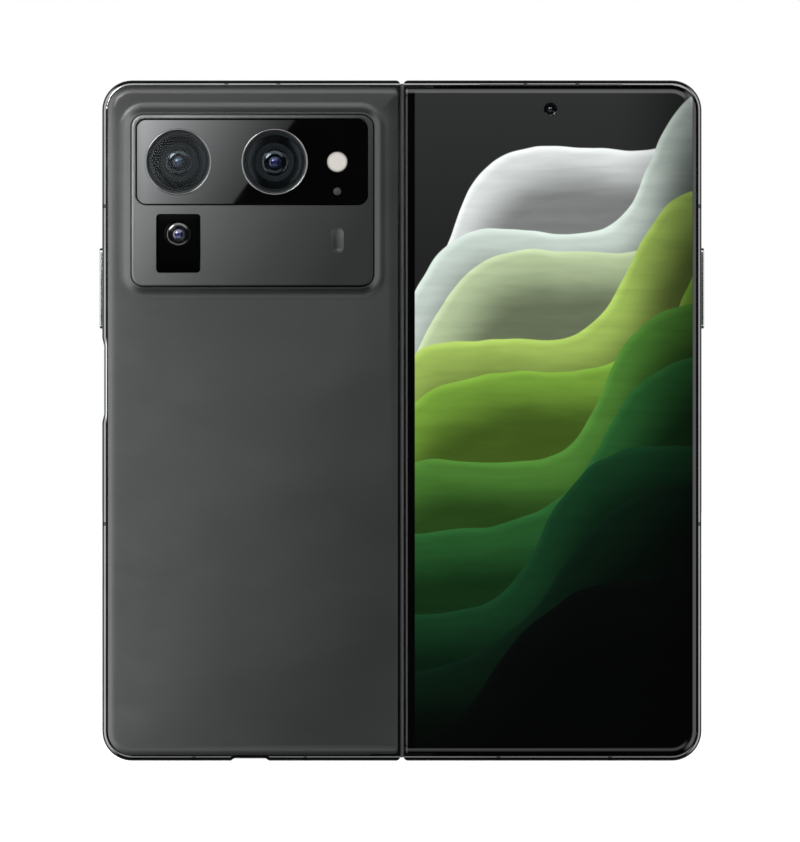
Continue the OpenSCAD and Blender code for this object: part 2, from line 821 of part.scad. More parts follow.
// A bracket on the inner plate that holds the snap domes behind a key.
module key_switch(z, length, domes) {
    face = half_w - wall - fit - key_flange_t - key_travel - fit;
    foot = face - dome_h + fit;
    block(foot - switch_t, foot, floor_v, key_v + dome_r, z - length / 2, z + length / 2);
    for (d = domes) translate([face - dome_h, y_at(key_v), z + d]) rotate([0, 90, 0])
        cylinder(dome_h, dome_r, dome_top_r);
}

module rear_key_switches() color("#b08a3c") left_half() {
    key_switch(key_z, key_len - switch_inset, [-dome_x, dome_x]);
    key_switch(power_z, power_len - switch_inset, [0]);
}
module cover_key_switch() color("#b08a3c")
    key_switch(key_z, key_len - switch_inset, [-dome_x, dome_x]);

module charging_port() color("#8d9093") left_half()
    translate([port_x, y_at(port_v), port_in]) difference() {
        linear_extrude(port_len) stadium(0, 0, port_w, port_h);
        translate([0, 0, -port_back_t]) linear_extrude(port_len)
            stadium(0, 0, port_w - 2 * port_wall, port_h - 2 * port_wall);
    }

module port_tongue() color("#1c1d1f") left_half()
    block(port_x - tongue_w / 2, port_x + tongue_w / 2, port_v - tongue_t / 2,
        port_v + tongue_t / 2, tongue_in, port_in + port_len - port_back_t);

// The tray: a head that lies flush in the frame and a tongue that frames the card.
module sim_tray() color("#3a3c3f") left_half() {
    half = tray_w / 2 - tray_shoulder;
    translate([tray_x, y_at(tray_v), height - wall])
        linear_extrude(wall) stadium(0, 0, tray_w, tray_h);
    difference() {
        block(tray_x - half, tray_x + half, tray_v - tray_tongue_t / 2,
            tray_v + tray_tongue_t / 2, height - wall - tray_len, height - wall + fit);
        block(tray_x - half + tray_side, tray_x + half - tray_side, tray_v - tray_tongue_t,
            tray_v + tray_tongue_t, height - wall - tray_len + tray_end, height - wall - tray_end);
    }
}

module sim_reader() color("#9da0a3") left_half() difference() {
    w = tray_w / 2 - tray_shoulder + slot_clear;
    t = tray_tongue_t / 2 + slot_clear;
    z0 = height - wall - tray_len - reader_t;
    block(tray_x - w - reader_t, tray_x + w + reader_t, over_leaf_v, tray_v + t + reader_t,
        z0 - reader_t, height - wall - reader_t);
    block(tray_x - w, tray_x + w, tray_v - t, tray_v + t, z0, height);
}

// ---- Boards, batteries and what is fixed in the halves ----

board_x0 = bay_x0 + 2 * rib_gap;
board_x1 = bay_x1 - post_r;
board_z1 = tele_lens_z - board_under_lens;

module posts(spots) {
    for (p = spots) plate(floor_v - fit, board_v) translate(p) circle(post_r);
}

module main_board() color("#1f4a34") left_half() difference() {
    plate(board_v, board_v + board_t) union() {
        rounded(board_x0, board_x1, board_z0, board_z1, board_r);
        rounded(board_x0, tray_x + tray_w / 2, board_z1 - 4 * board_r,
            height - wall - tray_len - board_tab_gap, board_r);
    }
    plate(0, half_t) for (p = board_posts) translate(p) circle(post_hole_r);
}

board_posts = [for (x = [board_x0 + post_inset, board_x1 - post_inset],
                    z = [board_z0 + post_inset, board_z1 - post_inset]) [x, z]];

module board_shields() color("#a7abae") left_half() {
    v = board_v + board_t;
    middle = board_x0 + shield_share * (board_x1 - board_x0);
    for (ends = [[board_x0 + shield_inset, middle - shield_gap / 2],
                 [middle + shield_gap / 2, board_x1 - shield_inset]])
        plate(v, v + shield_h) rounded(ends[0], ends[1], board_z0 + shield_inset,
            board_z1 - shield_inset, shield_r);
}

module battery_pack() {
    plate(floor_v, seat_v - skin_gap)
        rounded(bay_x0 + bay_gap, bay_x1, battery_z0, battery_z1, battery_r);
}

module rear_battery() color("#1a1b1d") left_half() battery_pack();
module cover_battery() color("#1a1b1d") battery_pack();

module bottom_board() color("#1f4a34") left_half() difference() {
    plate(board_v, board_v + board_t) rounded(speaker_x1 + sub_board_gap,
        motor_x0 - sub_board_gap, bay_z0 + bay_gap, sub_z1 - bay_gap, board_r);
    block(port_x - port_w / 2 - rib_gap, port_x + port_w / 2 + rib_gap, 0, half_t, 0,
        port_in + port_len + rib_gap);
}

module loudspeaker() color("#222326") left_half()
    plate(over_leaf_v, seat_v - skin_gap) rounded(bay_x0 + bay_gap, speaker_x1,
        bay_z0 + bay_gap, sub_z1 - bay_gap, battery_r);

module vibration_motor() color("#9a9da0") left_half()
    plate(floor_v, seat_v - skin_gap) rounded(motor_x0, motor_x0 + motor_w,
        bay_z0 + post_r, sub_z1 - post_r, board_r);

// A small camera: a square housing on the plate and a barrel that reaches the display.
module small_camera(x, z, house_v0, house_v1, front_v0, front_v1) {
    w = eye_house_w / 2;
    plate(house_v0, house_v1) rounded(x - w, x + w, z - w, z + w, eye_house_r);
    plate(front_v0, front_v1) translate([x, z]) circle(punch_r - 2 * fit);
}

module inner_camera() color("#0d0e10") left_half()
    small_camera(inner_eye_x, inner_eye_z, floor_v, floor_v + eye_house_t, display_v + 2 * fit,
        floor_v + fit);

module cover_camera() color("#0d0e10")
    small_camera(selfie_x, selfie_z, floor_v, seat_v, seat_v - fit, hood_v + panel_t - fit / 2);

// ---- Folding display and bezels ----

bezel_p = edge_in_r + bezel_step + fit;
display_inset = bezel_p + bezel_w + fit;

module bezel_section() {
    part_of_section(-bezel_p - bezel_w, -bezel_p, bezel_r, plate_v);
    part_of_section(-bezel_p - bezel_w + bezel_r, -bezel_p - bezel_r, 0, bezel_r + fit);
    for (p = [-bezel_p - bezel_w + bezel_r, -bezel_p - bezel_r])
        round_of_section(p, bezel_r, bezel_r);
}

module bezel() {
    edge_sweep(fold_half + fit, half_w, 0, height, corner_r) bezel_section();
}

module display_half() {
    plate(display_v, plate_v) half_outline(fold_half + fit, display_inset, sharp_r);
}

module rear_bezel() color("#101113") left_half() bezel();
module cover_bezel() color("#101113") bezel();
module rear_display() color("#060708") left_half() difference() {
    display_half();
    plate(0, floor_v) translate([inner_eye_x, inner_eye_z]) circle(punch_r);
}
module cover_display() color("#060708") display_half();

// The bending part of the display, with its soft bezel along both ends.
module fold_strip() color("#08090a") {
    block(-fold_half, fold_half, display_v, plate_v, display_inset - fit,
        height - display_inset + fit);
    both_ends() translate([-fold_half, 0, 0]) rotate([0, 90, 0])
        linear_extrude(2 * fold_half) bezel_section();
}

// ---- Hinge ----

function polar(r, a) = [r * cos(a), r * sin(a)];
function involute_a(r, base) = r <= base ? 0 : sqrt(r * r / (base * base) - 1) * 180 / PI
    - acos(base / r);

// An involute gear with a little backlash, turned by a phase in degrees.
module gear(teeth, phase) {
    pitch_r = teeth * tooth_m / 2;
    base_r = pitch_r * cos(pressure_a);
    root_r = pitch_r - gear_root * tooth_m;
    tip_r = pitch_r + gear_tip * tooth_m;
    half_a = (90 - backlash_a) / teeth;
    at_pitch = involute_a(pitch_r, base_r);
    flank = [for (k = [0 : 3]) max(root_r, base_r) + (tip_r - max(root_r, base_r)) * k / 3];
    polygon([for (i = [0 : teeth - 1]) let (a = phase + i * 360 / teeth) each concat(
        [polar(root_r, a - half_a - at_pitch - 1)],
        [for (r = flank) polar(r, a - half_a - at_pitch + involute_a(r, base_r))],
        [for (k = [3 : -1 : 0])
            polar(flank[k], a + half_a + at_pitch - involute_a(flank[k], base_r))],
        [polar(root_r, a + half_a + at_pitch + 1)])]);
}

module hinge_section(r) {
    difference() {
        union() {
            for (x = [-axis_x, axis_x]) round_of_section(x, axis_depth, r);
            part_of_section(-axis_x, axis_x, axis_depth, axis_depth + r);
        }
        part_of_section(-2 * web_x, 2 * web_x, -1, axis_depth);
    }
}

module spine_cover() color("#1b1c1e") {
    rest_z0 = ribbon_z0 + rest_inset;
    rest_z1 = ribbon_z0 + ribbon_h - rest_inset;
    difference() {
        translate([0, 0, spine_inset])
            linear_extrude(height - 2 * spine_inset) hinge_section(spine_r);
        translate([0, 0, spine_inset + end_wall])
            linear_extrude(height - 2 * spine_inset - 2 * end_wall) hinge_section(channel_r);
        both_ends() shaft_bores(spine_inset + shaft_in - fit, 2 * end_wall);
    }
    both_ends() for (x = [-axis_x, axis_x]) difference() {
        translate([x, y_at(axis_depth), spine_inset]) cylinder(end_wall, boss_r, boss_r);
        shaft_bores(spine_inset + shaft_in - fit, 2 * end_wall);
    }
    block(-rest_w / 2, rest_w / 2, ribbon_v + ribbon_t, axis_depth + channel_r + fit, rest_z0,
        rest_z1);
}

module shaft_bores(z, length) {
    for (x = [-axis_x, axis_x])
        translate([x, y_at(axis_depth), z])
            cylinder(length, shaft_r + bore_clear, shaft_r + bore_clear);
}

module hinge_shafts() color("#b9bcbf") both_ends() for (x = [-axis_x, axis_x])
    translate([x, y_at(axis_depth), spine_inset + shaft_in])
        cylinder(bracket_z + bracket_t - 2 * shaft_in - spine_inset, shaft_r, shaft_r);

// Cupped spring washers, stacked in pairs, that press on the barrels and hold the angle.
module friction_washers() color("#8a8d90") both_ends() for (x = [-axis_x, axis_x])
    translate([x, y_at(axis_depth), washer_z]) rotate_extrude() {
        rows = 2 * washer_pairs;
        step = washer_len / rows;
        inner = shaft_r + shaft_clear;
        outer = barrel_r - 2 * fit;
        polygon(concat([for (k = [0 : rows]) [k % 2 == 0 ? outer - washer_cup : outer, k * step]],
            [for (k = [rows : -1 : 0]) [k % 2 == 0 ? inner : inner + washer_dish, k * step]]));
    }

module hinge_brackets() color("#7d8083") both_ends() {
    difference() {
        translate([0, 0, bracket_z]) linear_extrude(bracket_t) {
            hinge_section(channel_r - fit / 2);
            part_of_section(-axis_x, axis_x, axis_depth - bridge_t, axis_depth + fit);
            for (x = [-axis_x, axis_x]) round_of_section(x, axis_depth, boss_r);
        }
        shaft_bores(bracket_z - 1, bracket_t + 2);
    }
    for (x = [-idler_r, idler_r])
        translate([x, y_at(axis_depth), gear_z - stack_gap])
            cylinder(bracket_z - gear_z + 2 * stack_gap, pin_r, pin_r);
}

module idler_gears(x, phase) {
    both_ends() translate([x, y_at(axis_depth), gear_z]) linear_extrude(gear_len) difference() {
        gear(idler_teeth, phase);
        circle(pin_r + shaft_clear);
    }
}

module idler_gears_left() color("#c2a35a") idler_gears(-idler_r, 180 / idler_teeth);
module idler_gears_right() color("#c2a35a") idler_gears(idler_r, 0);

// The arms of a half: geared barrels on the shafts, and leaves screwed under the inner plate.
module hinge_arms(phase) {
    both_ends() difference() {
        union() {
            translate([axis_x, y_at(axis_depth), barrel_z]) cylinder(barrel_len, barrel_r, barrel_r);
            translate([axis_x, y_at(axis_depth), gear_z - fit])
                linear_extrude(gear_len + fit) gear(gear_teeth, phase);
            block(axis_x, leaf_x, floor_v, floor_v + leaf_t, barrel_z + leaf_inset,
                gear_z - leaf_inset);
        }
        translate([axis_x, y_at(axis_depth), 0])
            cylinder(bracket_z, shaft_r + shaft_clear, shaft_r + shaft_clear);
        for (x = arm_screws, z = arm_screw_z) {
            plate(floor_v - 1, floor_v + leaf_t + 1) translate([x, z]) circle(screw_r + fit);
            plate(floor_v + leaf_t - screw_head_t, floor_v + leaf_t + 1)
                translate([x, z]) circle(screw_head_r + fit);
        }
    }
}

arm_screw_z = [barrel_z + arm_screw_inset, gear_z - arm_screw_inset];

module hinge_screws() {
    both_ends() for (x = arm_screws, z = arm_screw_z) {
        plate(floor_v, floor_v + leaf_t) translate([x, z]) circle(screw_r);
        plate(floor_v + leaf_t - screw_head_t, floor_v + leaf_t)
            translate([x, z]) circle(screw_head_r);
    }
}

// The rear gear has a tooth towards its idler and the cover gear a gap; see the idlers' phases.
module rear_hinge_arms() color("#6d7073") left_half() hinge_arms(180);
module cover_hinge_arms() color("#6d7073") hinge_arms(180 + 180 / gear_teeth);
module rear_arm_screws() color("#55585b") left_half() hinge_screws();
module cover_arm_screws() color("#55585b") hinge_screws();

// The flat cable that joins the halves passes along both hinge axes.
ribbon_z0 = board_z0 + ribbon_up;
ribbon_v = axis_depth - ribbon_lift;

module half_ribbon() {
    block(axis_x + rib_gap, board_x0 - fit, ribbon_v, ribbon_v + ribbon_t, ribbon_z0,
        ribbon_z0 + ribbon_h);
}
module rear_ribbon() color("#a8702c") left_half() half_ribbon();
module cover_ribbon() color("#a8702c") half_ribbon();
module spine_ribbon() color("#a8702c")
    block(-axis_x + rib_gap, axis_x - rib_gap, ribbon_v, ribbon_v + ribbon_t, ribbon_z0,
        ribbon_z0 + ribbon_h);

// ---- Cover half ----

module cover_board() color("#1f4a34") difference() {
    plate(board_v, board_v + board_t) rounded(board_x0, board_x1, board_z0, board_z1, board_r);
    plate(0, half_t) for (p = board_posts) translate(p) circle(post_hole_r);
}

module cover_panel() color("#050607") difference() {
    plate(hood_v, hood_v + panel_t) half_outline(panel_inset, skin_in + roll_w + fit, panel_r);
    plate(0, half_t) translate([selfie_x, selfie_z]) circle(punch_r);
}

module earpiece_grille() color("#2a2b2d")
    block(slit_x0 + fit, slit_x1 - fit, slit_v, lip_v - slit_drop, height - lip_w,
        height - lip_w + slit_w - fit);

rear_frame();
rear_antenna_breaks();
rear_cover();
camera_deck();
camera_glass();
wide_lens_ring();
main_lens_ring();
lens_windows();
wide_camera();
main_camera();
tele_camera();
wide_lens();
main_lens();
tele_lens();
tele_window();
flash_lens();
sensor_lens();
microphone_grille();
volume_key();
power_key();
rear_key_switches();
charging_port();
port_tongue();
sim_tray();
sim_reader();
main_board();
board_shields();
rear_battery();
bottom_board();
loudspeaker();
vibration_motor();
inner_camera();
rear_bezel();
rear_display();
rear_hinge_arms();
rear_arm_screws();
rear_ribbon();
spine_cover();
hinge_shafts();
friction_washers();
hinge_brackets();
spine_ribbon();
fold_strip();
idler_gears_left();
idler_gears_right();
cover_frame();
cover_antenna_breaks();
cover_glass();
cover_panel();
earpiece_grille();
cover_camera();
cover_key();
cover_key_switch();
cover_battery();
cover_board();
cover_bezel();
cover_display();
cover_hinge_arms();
cover_arm_screws();
cover_ribbon();
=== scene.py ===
# %% [markdown]
# # A folding phone, open flat
#
# The phone stands upright, open, with its outer faces towards us: the camera half on our left
# and the cover display on our right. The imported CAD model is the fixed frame. It gives every
# piece its size and place, and this lesson gives the pieces their finish, or a finer mesh
# where a photograph would show more than the CAD solid has.

import math

import bmesh
import bpy
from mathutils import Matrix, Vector


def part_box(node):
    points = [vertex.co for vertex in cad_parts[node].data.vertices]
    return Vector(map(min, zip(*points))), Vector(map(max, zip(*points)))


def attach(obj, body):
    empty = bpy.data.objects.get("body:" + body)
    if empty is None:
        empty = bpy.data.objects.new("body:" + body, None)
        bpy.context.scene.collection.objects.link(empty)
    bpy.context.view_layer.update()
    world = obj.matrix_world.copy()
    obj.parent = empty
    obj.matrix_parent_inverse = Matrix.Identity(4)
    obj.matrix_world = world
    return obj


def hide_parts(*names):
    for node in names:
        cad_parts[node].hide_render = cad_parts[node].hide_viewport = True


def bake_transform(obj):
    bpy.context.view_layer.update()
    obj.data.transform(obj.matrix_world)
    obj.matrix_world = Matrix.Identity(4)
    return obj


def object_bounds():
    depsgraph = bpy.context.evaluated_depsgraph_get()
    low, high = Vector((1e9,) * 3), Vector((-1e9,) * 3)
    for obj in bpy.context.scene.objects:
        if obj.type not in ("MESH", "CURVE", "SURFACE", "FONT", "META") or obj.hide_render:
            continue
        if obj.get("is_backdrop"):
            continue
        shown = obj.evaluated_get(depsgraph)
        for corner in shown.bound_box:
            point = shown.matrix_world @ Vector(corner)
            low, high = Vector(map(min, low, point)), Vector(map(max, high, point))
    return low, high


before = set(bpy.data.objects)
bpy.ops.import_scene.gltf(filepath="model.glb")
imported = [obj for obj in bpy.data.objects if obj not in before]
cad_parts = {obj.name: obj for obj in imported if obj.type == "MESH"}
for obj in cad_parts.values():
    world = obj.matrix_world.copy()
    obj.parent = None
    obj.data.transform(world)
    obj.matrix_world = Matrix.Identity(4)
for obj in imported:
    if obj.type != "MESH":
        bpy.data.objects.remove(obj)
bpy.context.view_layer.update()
MM = 0.001

# %% [markdown]
# ## The camera
#
# Product photographs of a phone are taken from far away with a long lens, so that both halves
# keep their true outline. The camera looks straight at the outer faces. Its field is set by
# the height of the picture on the phone, and its aim by the middle of the picture.

# %% Make the camera
PICTURE_HEIGHT = 197.1 * MM
PICTURE_CENTRE_X = -0.44 * MM
PICTURE_CENTRE_Z = 79.6 * MM
LENS = 400.0
SENSOR = 36.0

outer_face_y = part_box("cover_glass")[0].y
camera_distance = PICTURE_HEIGHT * LENS / SENSOR
camera_data = bpy.data.cameras.new("camera")
camera_data.lens = LENS
camera_data.sensor_width = SENSOR
camera = bpy.data.objects.new("camera", camera_data)
camera.location = (PICTURE_CENTRE_X, outer_face_y - camera_distance, PICTURE_CENTRE_Z)
camera.rotation_euler = (math.radians(90), 0, 0)
bpy.context.scene.collection.objects.link(camera)
bpy.context.scene.camera = camera
bpy.context.scene.view_settings.view_transform = "Standard"
print("camera stands", round(camera_distance, 3), "m in front of the cover glass")

# %% [markdown]
# ## Sums of sockets
#
# A procedural finish is mostly arithmetic: a mask times a colour, a distance minus a radius.
# Written as nodes it is hard to read, so one small class wraps a socket and lets the usual
# signs add the Math nodes. A second class holds a node tree and adds any other node.

# %% Values and finishes
class Value:
    """One socket. Plain arithmetic on it adds Math nodes."""

    def __init__(self, finish, socket):
        self.finish = finish
        self.socket = socket

    def __add__(self, other):
        return self.finish.maths("ADD", self, other)

    def __sub__(self, other):
        return self.finish.maths("SUBTRACT", self, other)

    def __mul__(self, other):
        return self.finish.maths("MULTIPLY", self, other)

    def __truediv__(self, other):
        return self.finish.maths("DIVIDE", self, other)

    def __pow__(self, other):
        return self.finish.maths("POWER", self, other)

    def __rsub__(self, other):
        return self.finish.maths("SUBTRACT", other, self)

    def __rpow__(self, other):
        return self.finish.maths("POWER", other, self)

    __radd__ = __add__
    __rmul__ = __mul__


class Finish:
    """A node tree, with its Principled shader where it belongs to a material."""

    def __init__(self, name, tree=None):
        if tree is None:
            self.material = bpy.data.materials.new(name)
            self.material.use_nodes = True
            tree = self.material.node_tree
            self.shader = tree.nodes["Principled BSDF"]
        self.tree = tree

    def feed(self, socket, value):
        if isinstance(value, Value):
            self.tree.links.new(value.socket, socket)
        elif isinstance(value, tuple) and len(value) == 3 and socket.type == "RGBA":
            socket.default_value = (*value, 1.0)
        else:
            socket.default_value = value

    def node(self, kind, settings=None, inputs=None, out=0):
        made = self.tree.nodes.new(kind)
        for name, value in (settings or {}).items():
            if name == "stops":
                while len(made.color_ramp.elements) < len(value):
                    made.color_ramp.elements.new(1.0)
                for element, (place, colour) in zip(made.color_ramp.elements, value):
                    element.position = place
                    element.color = (*colour, 1.0)
            else:
                setattr(made, name, value)
        for name, value in (inputs or {}).items():
            self.feed(made.inputs[name], value)
        return Value(self, made.outputs[out])

    def maths(self, operation, *values, clamp=False):
        settings = {"operation": operation, "use_clamp": clamp}
        return self.node("ShaderNodeMath", settings, dict(enumerate(values)))

    def clamp(self, value):
        return self.maths("ADD", value, 0.0, clamp=True)

    def step(self, value, low, high):
        """0 below low and 1 above high, with a smooth rise between."""
        inputs = {"Value": value, "From Min": low, "From Max": high}
        return self.node("ShaderNodeMapRange", {"interpolation_type": "SMOOTHSTEP"}, inputs)

    def ramp(self, value, stops):
        return self.node("ShaderNodeValToRGB", {"stops": stops}, {0: value})

    def mix(self, factor, a, b, blend="MIX"):
        settings = {"data_type": "RGBA", "blend_type": blend}
        return self.node("ShaderNodeMix", settings, {0: factor, 6: a, 7: b}, out=2)

    def grey(self, value):
        """One value as a colour without a hue."""
        return self.node("ShaderNodeCombineXYZ", inputs={0: value, 1: value, 2: value})

    def place(self):
        """Where a point of the piece is at rest, in mm: the vector, then x, y and z."""
        point = self.node("ShaderNodeTexCoord", out="Object")
        inputs = {0: point, "Scale": 1 / MM}
        point = self.node("ShaderNodeVectorMath", {"operation": "SCALE"}, inputs)
        parts = self.node("ShaderNodeSeparateXYZ", inputs={0: point})
        outputs = parts.socket.node.outputs
        return point, *(Value(self, outputs[i]) for i in range(3))

    def noise(self, point, size, detail=3.0, stretch=(1, 1, 1), twist=0.0):
        """Soft noise whose blots are about size mm across, drawn out by stretch."""
        scale = tuple(1 / (size * s) for s in stretch)
        settings = {"operation": "MULTIPLY"}
        point = self.node("ShaderNodeVectorMath", settings, {0: point, 1: scale})
        inputs = {"Vector": point, "Scale": 1.0, "Detail": detail, "Distortion": twist}
        return self.node("ShaderNodeTexNoise", inputs=inputs)

    def bump(self, height, depth, strength=1.0):
        """A bump whose full height is depth mm."""
        inputs = {"Height": height, "Distance": depth * MM, "Strength": strength}
        return self.node("ShaderNodeBump", inputs=inputs)

    def set(self, **sockets):
        for name, value in sockets.items():
            self.feed(self.shader.inputs[name.replace("_", " ")], value)
        return self


def srgb(r, g, b):
    """A colour read off a picture, as the light that a shader works with."""
    return tuple(((c / 255 + 0.055) / 1.055) ** 2.4 if c > 10 else c / 3294.6 for c in (r, g, b))


print("a mid grey of 118 is", round(srgb(118, 118, 118)[0], 3), "of white")

# %% [markdown]
# ## The studio
#
# Polished metal and glass show the room more than themselves, so the room is designed. Four
# softboxes hang round the phone. The two at the sides are wide and reach out until they stand
# square to the camera's axis, and those above and below are narrower and closer to it. Along a
# rounded edge the mirrored direction sweeps outwards, so each box draws one bright line there,
# with darkness on both sides of it. A world shader is enough for that: it asks how far a
# direction is off the axis and which way it lies. Faces that look straight at the camera mirror
# the dark middle, a bright spot at the upper left puts a glint into every lens, and a glow
# behind the phone lights its inner side. What the camera itself sees of the room is white.

# %% Light the studio
world = bpy.data.worlds.new("studio")
bpy.context.scene.world = world
world.use_nodes = True
air = Finish("studio", world.node_tree)
background = world.node_tree.nodes["Background"]

direction = air.node("ShaderNodeTexCoord", out="Generated")
parts = air.node("ShaderNodeSeparateXYZ", inputs={0: direction}).socket.node.outputs
to_right, to_back, to_top = (Value(air, parts[i]) for i in range(3))
facing = 0.5 - 0.5 * to_back
off_axis = air.maths("MAXIMUM", 1.0 - to_back * to_back, 0.0001) ** 0.5
SOFTBOXES = [
    # which way it hangs, where it begins and ends towards the axis, its soft edge, its light
    (to_right * -1.0, 0.50, 0.94, 0.07, 2.5),
    (to_right * 1.0, 0.48, 0.88, 0.09, 2.1),
    (to_top * 1.0, 0.80, 0.990, 0.02, 2.5),
    (to_top * -1.0, 0.85, 0.988, 0.02, 1.25),
]
END_FROM, END_FULL = 0.50, 0.85
OUTER_EDGE = 0.10
ROOM_DARK = 0.012
BACK_GLOW = 0.22
# the room is dark round the camera, lighter out to the sides, and glows behind the phone
sideways = (to_right / off_axis) ** 2.0
mirrored = ROOM_DARK + (1.0 - air.step(facing, 0.42, 0.60)) * (0.03 + 0.09 * sideways)
mirrored = mirrored + BACK_GLOW * air.step(to_back, 0.05, 0.6)
for toward, begin, end, soft_edge, light in SOFTBOXES:
    box = air.step(toward / off_axis, END_FROM, END_FULL) * air.step(facing, begin, begin + OUTER_EDGE)
    mirrored = mirrored + box * (1.0 - air.step(facing, end - soft_edge, end)) * light
GLINT_OFF, GLINT_TURN = math.radians(25), math.radians(135)
GLINT_LIGHT = 16.0
GLINT_EDGE, GLINT_CORE = math.cos(math.radians(9.0)), math.cos(math.radians(6.0))
glint_way = (math.sin(GLINT_OFF) * math.cos(GLINT_TURN), -math.cos(GLINT_OFF),
             math.sin(GLINT_OFF) * math.sin(GLINT_TURN))
toward_glint = to_right * glint_way[0] + to_back * glint_way[1] + to_top * glint_way[2]
mirrored = mirrored + GLINT_LIGHT * air.step(toward_glint, GLINT_EDGE, GLINT_CORE)
# of the room, matt faces see only this soft light: a little more above, and most behind the phone
soft = 0.05 + 0.04 * air.step(to_top, -0.5, 0.9) + 0.35 * air.step(to_back, -0.1, 0.7)
rays = air.node("ShaderNodeLightPath").socket.node.outputs
seen = air.mix(Value(air, rays["Is Diffuse Ray"]), mirrored, soft)
seen = air.mix(Value(air, rays["Is Camera Ray"]), seen, (1.0, 1.0, 1.0))
air.feed(background.inputs["Color"], seen)
background.inputs["Strength"].default_value = 1.0
print("studio:", len(SOFTBOXES), "softboxes and a glint")

# %% [markdown]
# Matt and satin faces take their shape from one lamp at the left, a little above the phone. It
# is hidden from mirrors, because the softboxes already give them their lines.

# %% Hang the main lamp
LAMP_PLACE = Vector((-0.75, -0.38, 0.42))
LAMP_AIM = Vector((0, 0, 0.08))
lamp_data = bpy.data.lights.new("main_lamp", "AREA")
lamp_data.size = 0.35
lamp_data.energy = 6.0
lamp = bpy.data.objects.new("main_lamp", lamp_data)
lamp.location = LAMP_PLACE
lamp.rotation_euler = (LAMP_AIM - LAMP_PLACE).to_track_quat("-Z", "Y").to_euler()
lamp.visible_camera = False
lamp.visible_glossy = False
bpy.context.scene.collection.objects.link(lamp)
print("main lamp hangs", round((LAMP_AIM - LAMP_PLACE).length, 2), "m away")

# %% [markdown]
# ## The light card
#
# The glossy panel round the lenses mirrors a softbox that fades from left to right and ends
# in a slanted edge. That is a real card in the room. It hangs far behind the camera, where
# only a flat face that looks straight at the camera can mirror it. Its corners are the
# panel's own points, followed along the mirrored sight lines to the card's distance.

# %% Hang the light card
CARD_DISTANCE = 4.0
CARD_LIGHT = 11.7
CARD_FADE = math.exp(-3.29)
CARD_SPARE = 1 * MM
panel_low, panel_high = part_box("camera_glass")
panel_y = panel_low.y
EDGE_FOOT = (-39.9 * MM, 130.1 * MM)
EDGE_TOP = (-24.9 * MM, 150.3 * MM)


def mirrored_on_card(x, z):
    """Where the camera's sight line to a point of the panel ends on the card."""
    eye = camera.location
    far = (CARD_DISTANCE + panel_y) / (panel_y - eye.y)
    return Vector((x + (x - eye.x) * far, -CARD_DISTANCE, z + (z - eye.z) * far))


card_corners = [
    mirrored_on_card(panel_low.x - 2 * CARD_SPARE, EDGE_FOOT[1] - CARD_SPARE),
    mirrored_on_card(EDGE_FOOT[0] - 0.7 * CARD_SPARE, EDGE_FOOT[1] - CARD_SPARE),
    mirrored_on_card(EDGE_TOP[0] + 0.7 * CARD_SPARE, EDGE_TOP[1] + CARD_SPARE),
    mirrored_on_card(panel_low.x - 2 * CARD_SPARE, EDGE_TOP[1] + CARD_SPARE),
]
card_mesh = bpy.data.meshes.new("light_card")
card_mesh.from_pydata(card_corners, [], [(0, 1, 2, 3)])
card = bpy.data.objects.new("light_card", card_mesh)
bpy.context.scene.collection.objects.link(card)
card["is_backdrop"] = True
card.visible_camera = False
card.visible_diffuse = False
card.visible_shadow = False

glow = Finish("light_card")
_, card_x, _, card_z = glow.place()
card_width = (card_corners[2].x - card_corners[0].x) / MM
across = (card_x - card_corners[0].x / MM) / card_width
up = (card_z - card_corners[0].z / MM) / ((card_corners[2].z - card_corners[0].z) / MM)
fade = CARD_FADE ** glow.clamp(across) * (0.54 + 0.46 * up) * glow.step(across, -0.05, 0.11)
fade = fade * (1.0 + 3.2 * across * across * (1.0 - across) * up)
card_colour = glow.node("ShaderNodeCombineXYZ", inputs={0: fade, 1: fade * 1.02, 2: fade * 1.03})
glow.set(Base_Color=(0.0, 0.0, 0.0), Emission_Color=card_colour, Emission_Strength=CARD_LIGHT)
card_mesh.materials.append(glow.material)
print("light card is", round(card_width), "mm wide")

# %% [markdown]
# ## The floor
#
# The phone stands on a plain white table that runs out of sight. Light of its own keeps it as
# white as the background, so that it hardly takes a shadow. Neither mirrors nor matt faces see
# it, or the phone's lower edges would show its light.

# %% Lay the floor
FLOOR_HALF = 6.0
floor_mesh = bpy.data.meshes.new("floor")
floor_corners = [(-FLOOR_HALF, -FLOOR_HALF, 0), (FLOOR_HALF, -FLOOR_HALF, 0),
                 (FLOOR_HALF, FLOOR_HALF, 0), (-FLOOR_HALF, FLOOR_HALF, 0)]
floor_mesh.from_pydata(floor_corners, [], [(0, 1, 2, 3)])
floor = bpy.data.objects.new("floor", floor_mesh)
bpy.context.scene.collection.objects.link(floor)
floor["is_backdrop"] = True
floor.visible_glossy = False
floor.visible_diffuse = False
table = Finish("white_table")
table.set(Base_Color=(0.85, 0.85, 0.85), Roughness=0.9, Emission_Color=(1.0, 1.0, 1.0),
          Emission_Strength=0.9)
floor_mesh.materials.append(table.material)
print("floor is", 2 * FLOOR_HALF, "m across")

# %% [markdown]
# ## Loops into meshes
#
# Nearly every piece here is a stack of outlines: circles for a lens, rounded rectangles for a
# window, and the cover's outline, drawn in a little more at each height of its rolled edge.
# One helper joins loops of equally many points with quads and closes the ends, and a few
# short ones measure CAD nodes and draw the outlines. Depths are in mm from the inner faces,
# outwards.

# %% Helpers for meshes
inner_face_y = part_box("rear_bezel")[1].y
SHARP_FROM = 32
TURNED_STEPS = 128


def depth_y(depth):
    return inner_face_y - depth * MM


def flat_box(node):
    """Left, right, foot and top of a CAD node, in mm."""
    low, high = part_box(node)
    return low.x / MM, high.x / MM, low.z / MM, high.z / MM


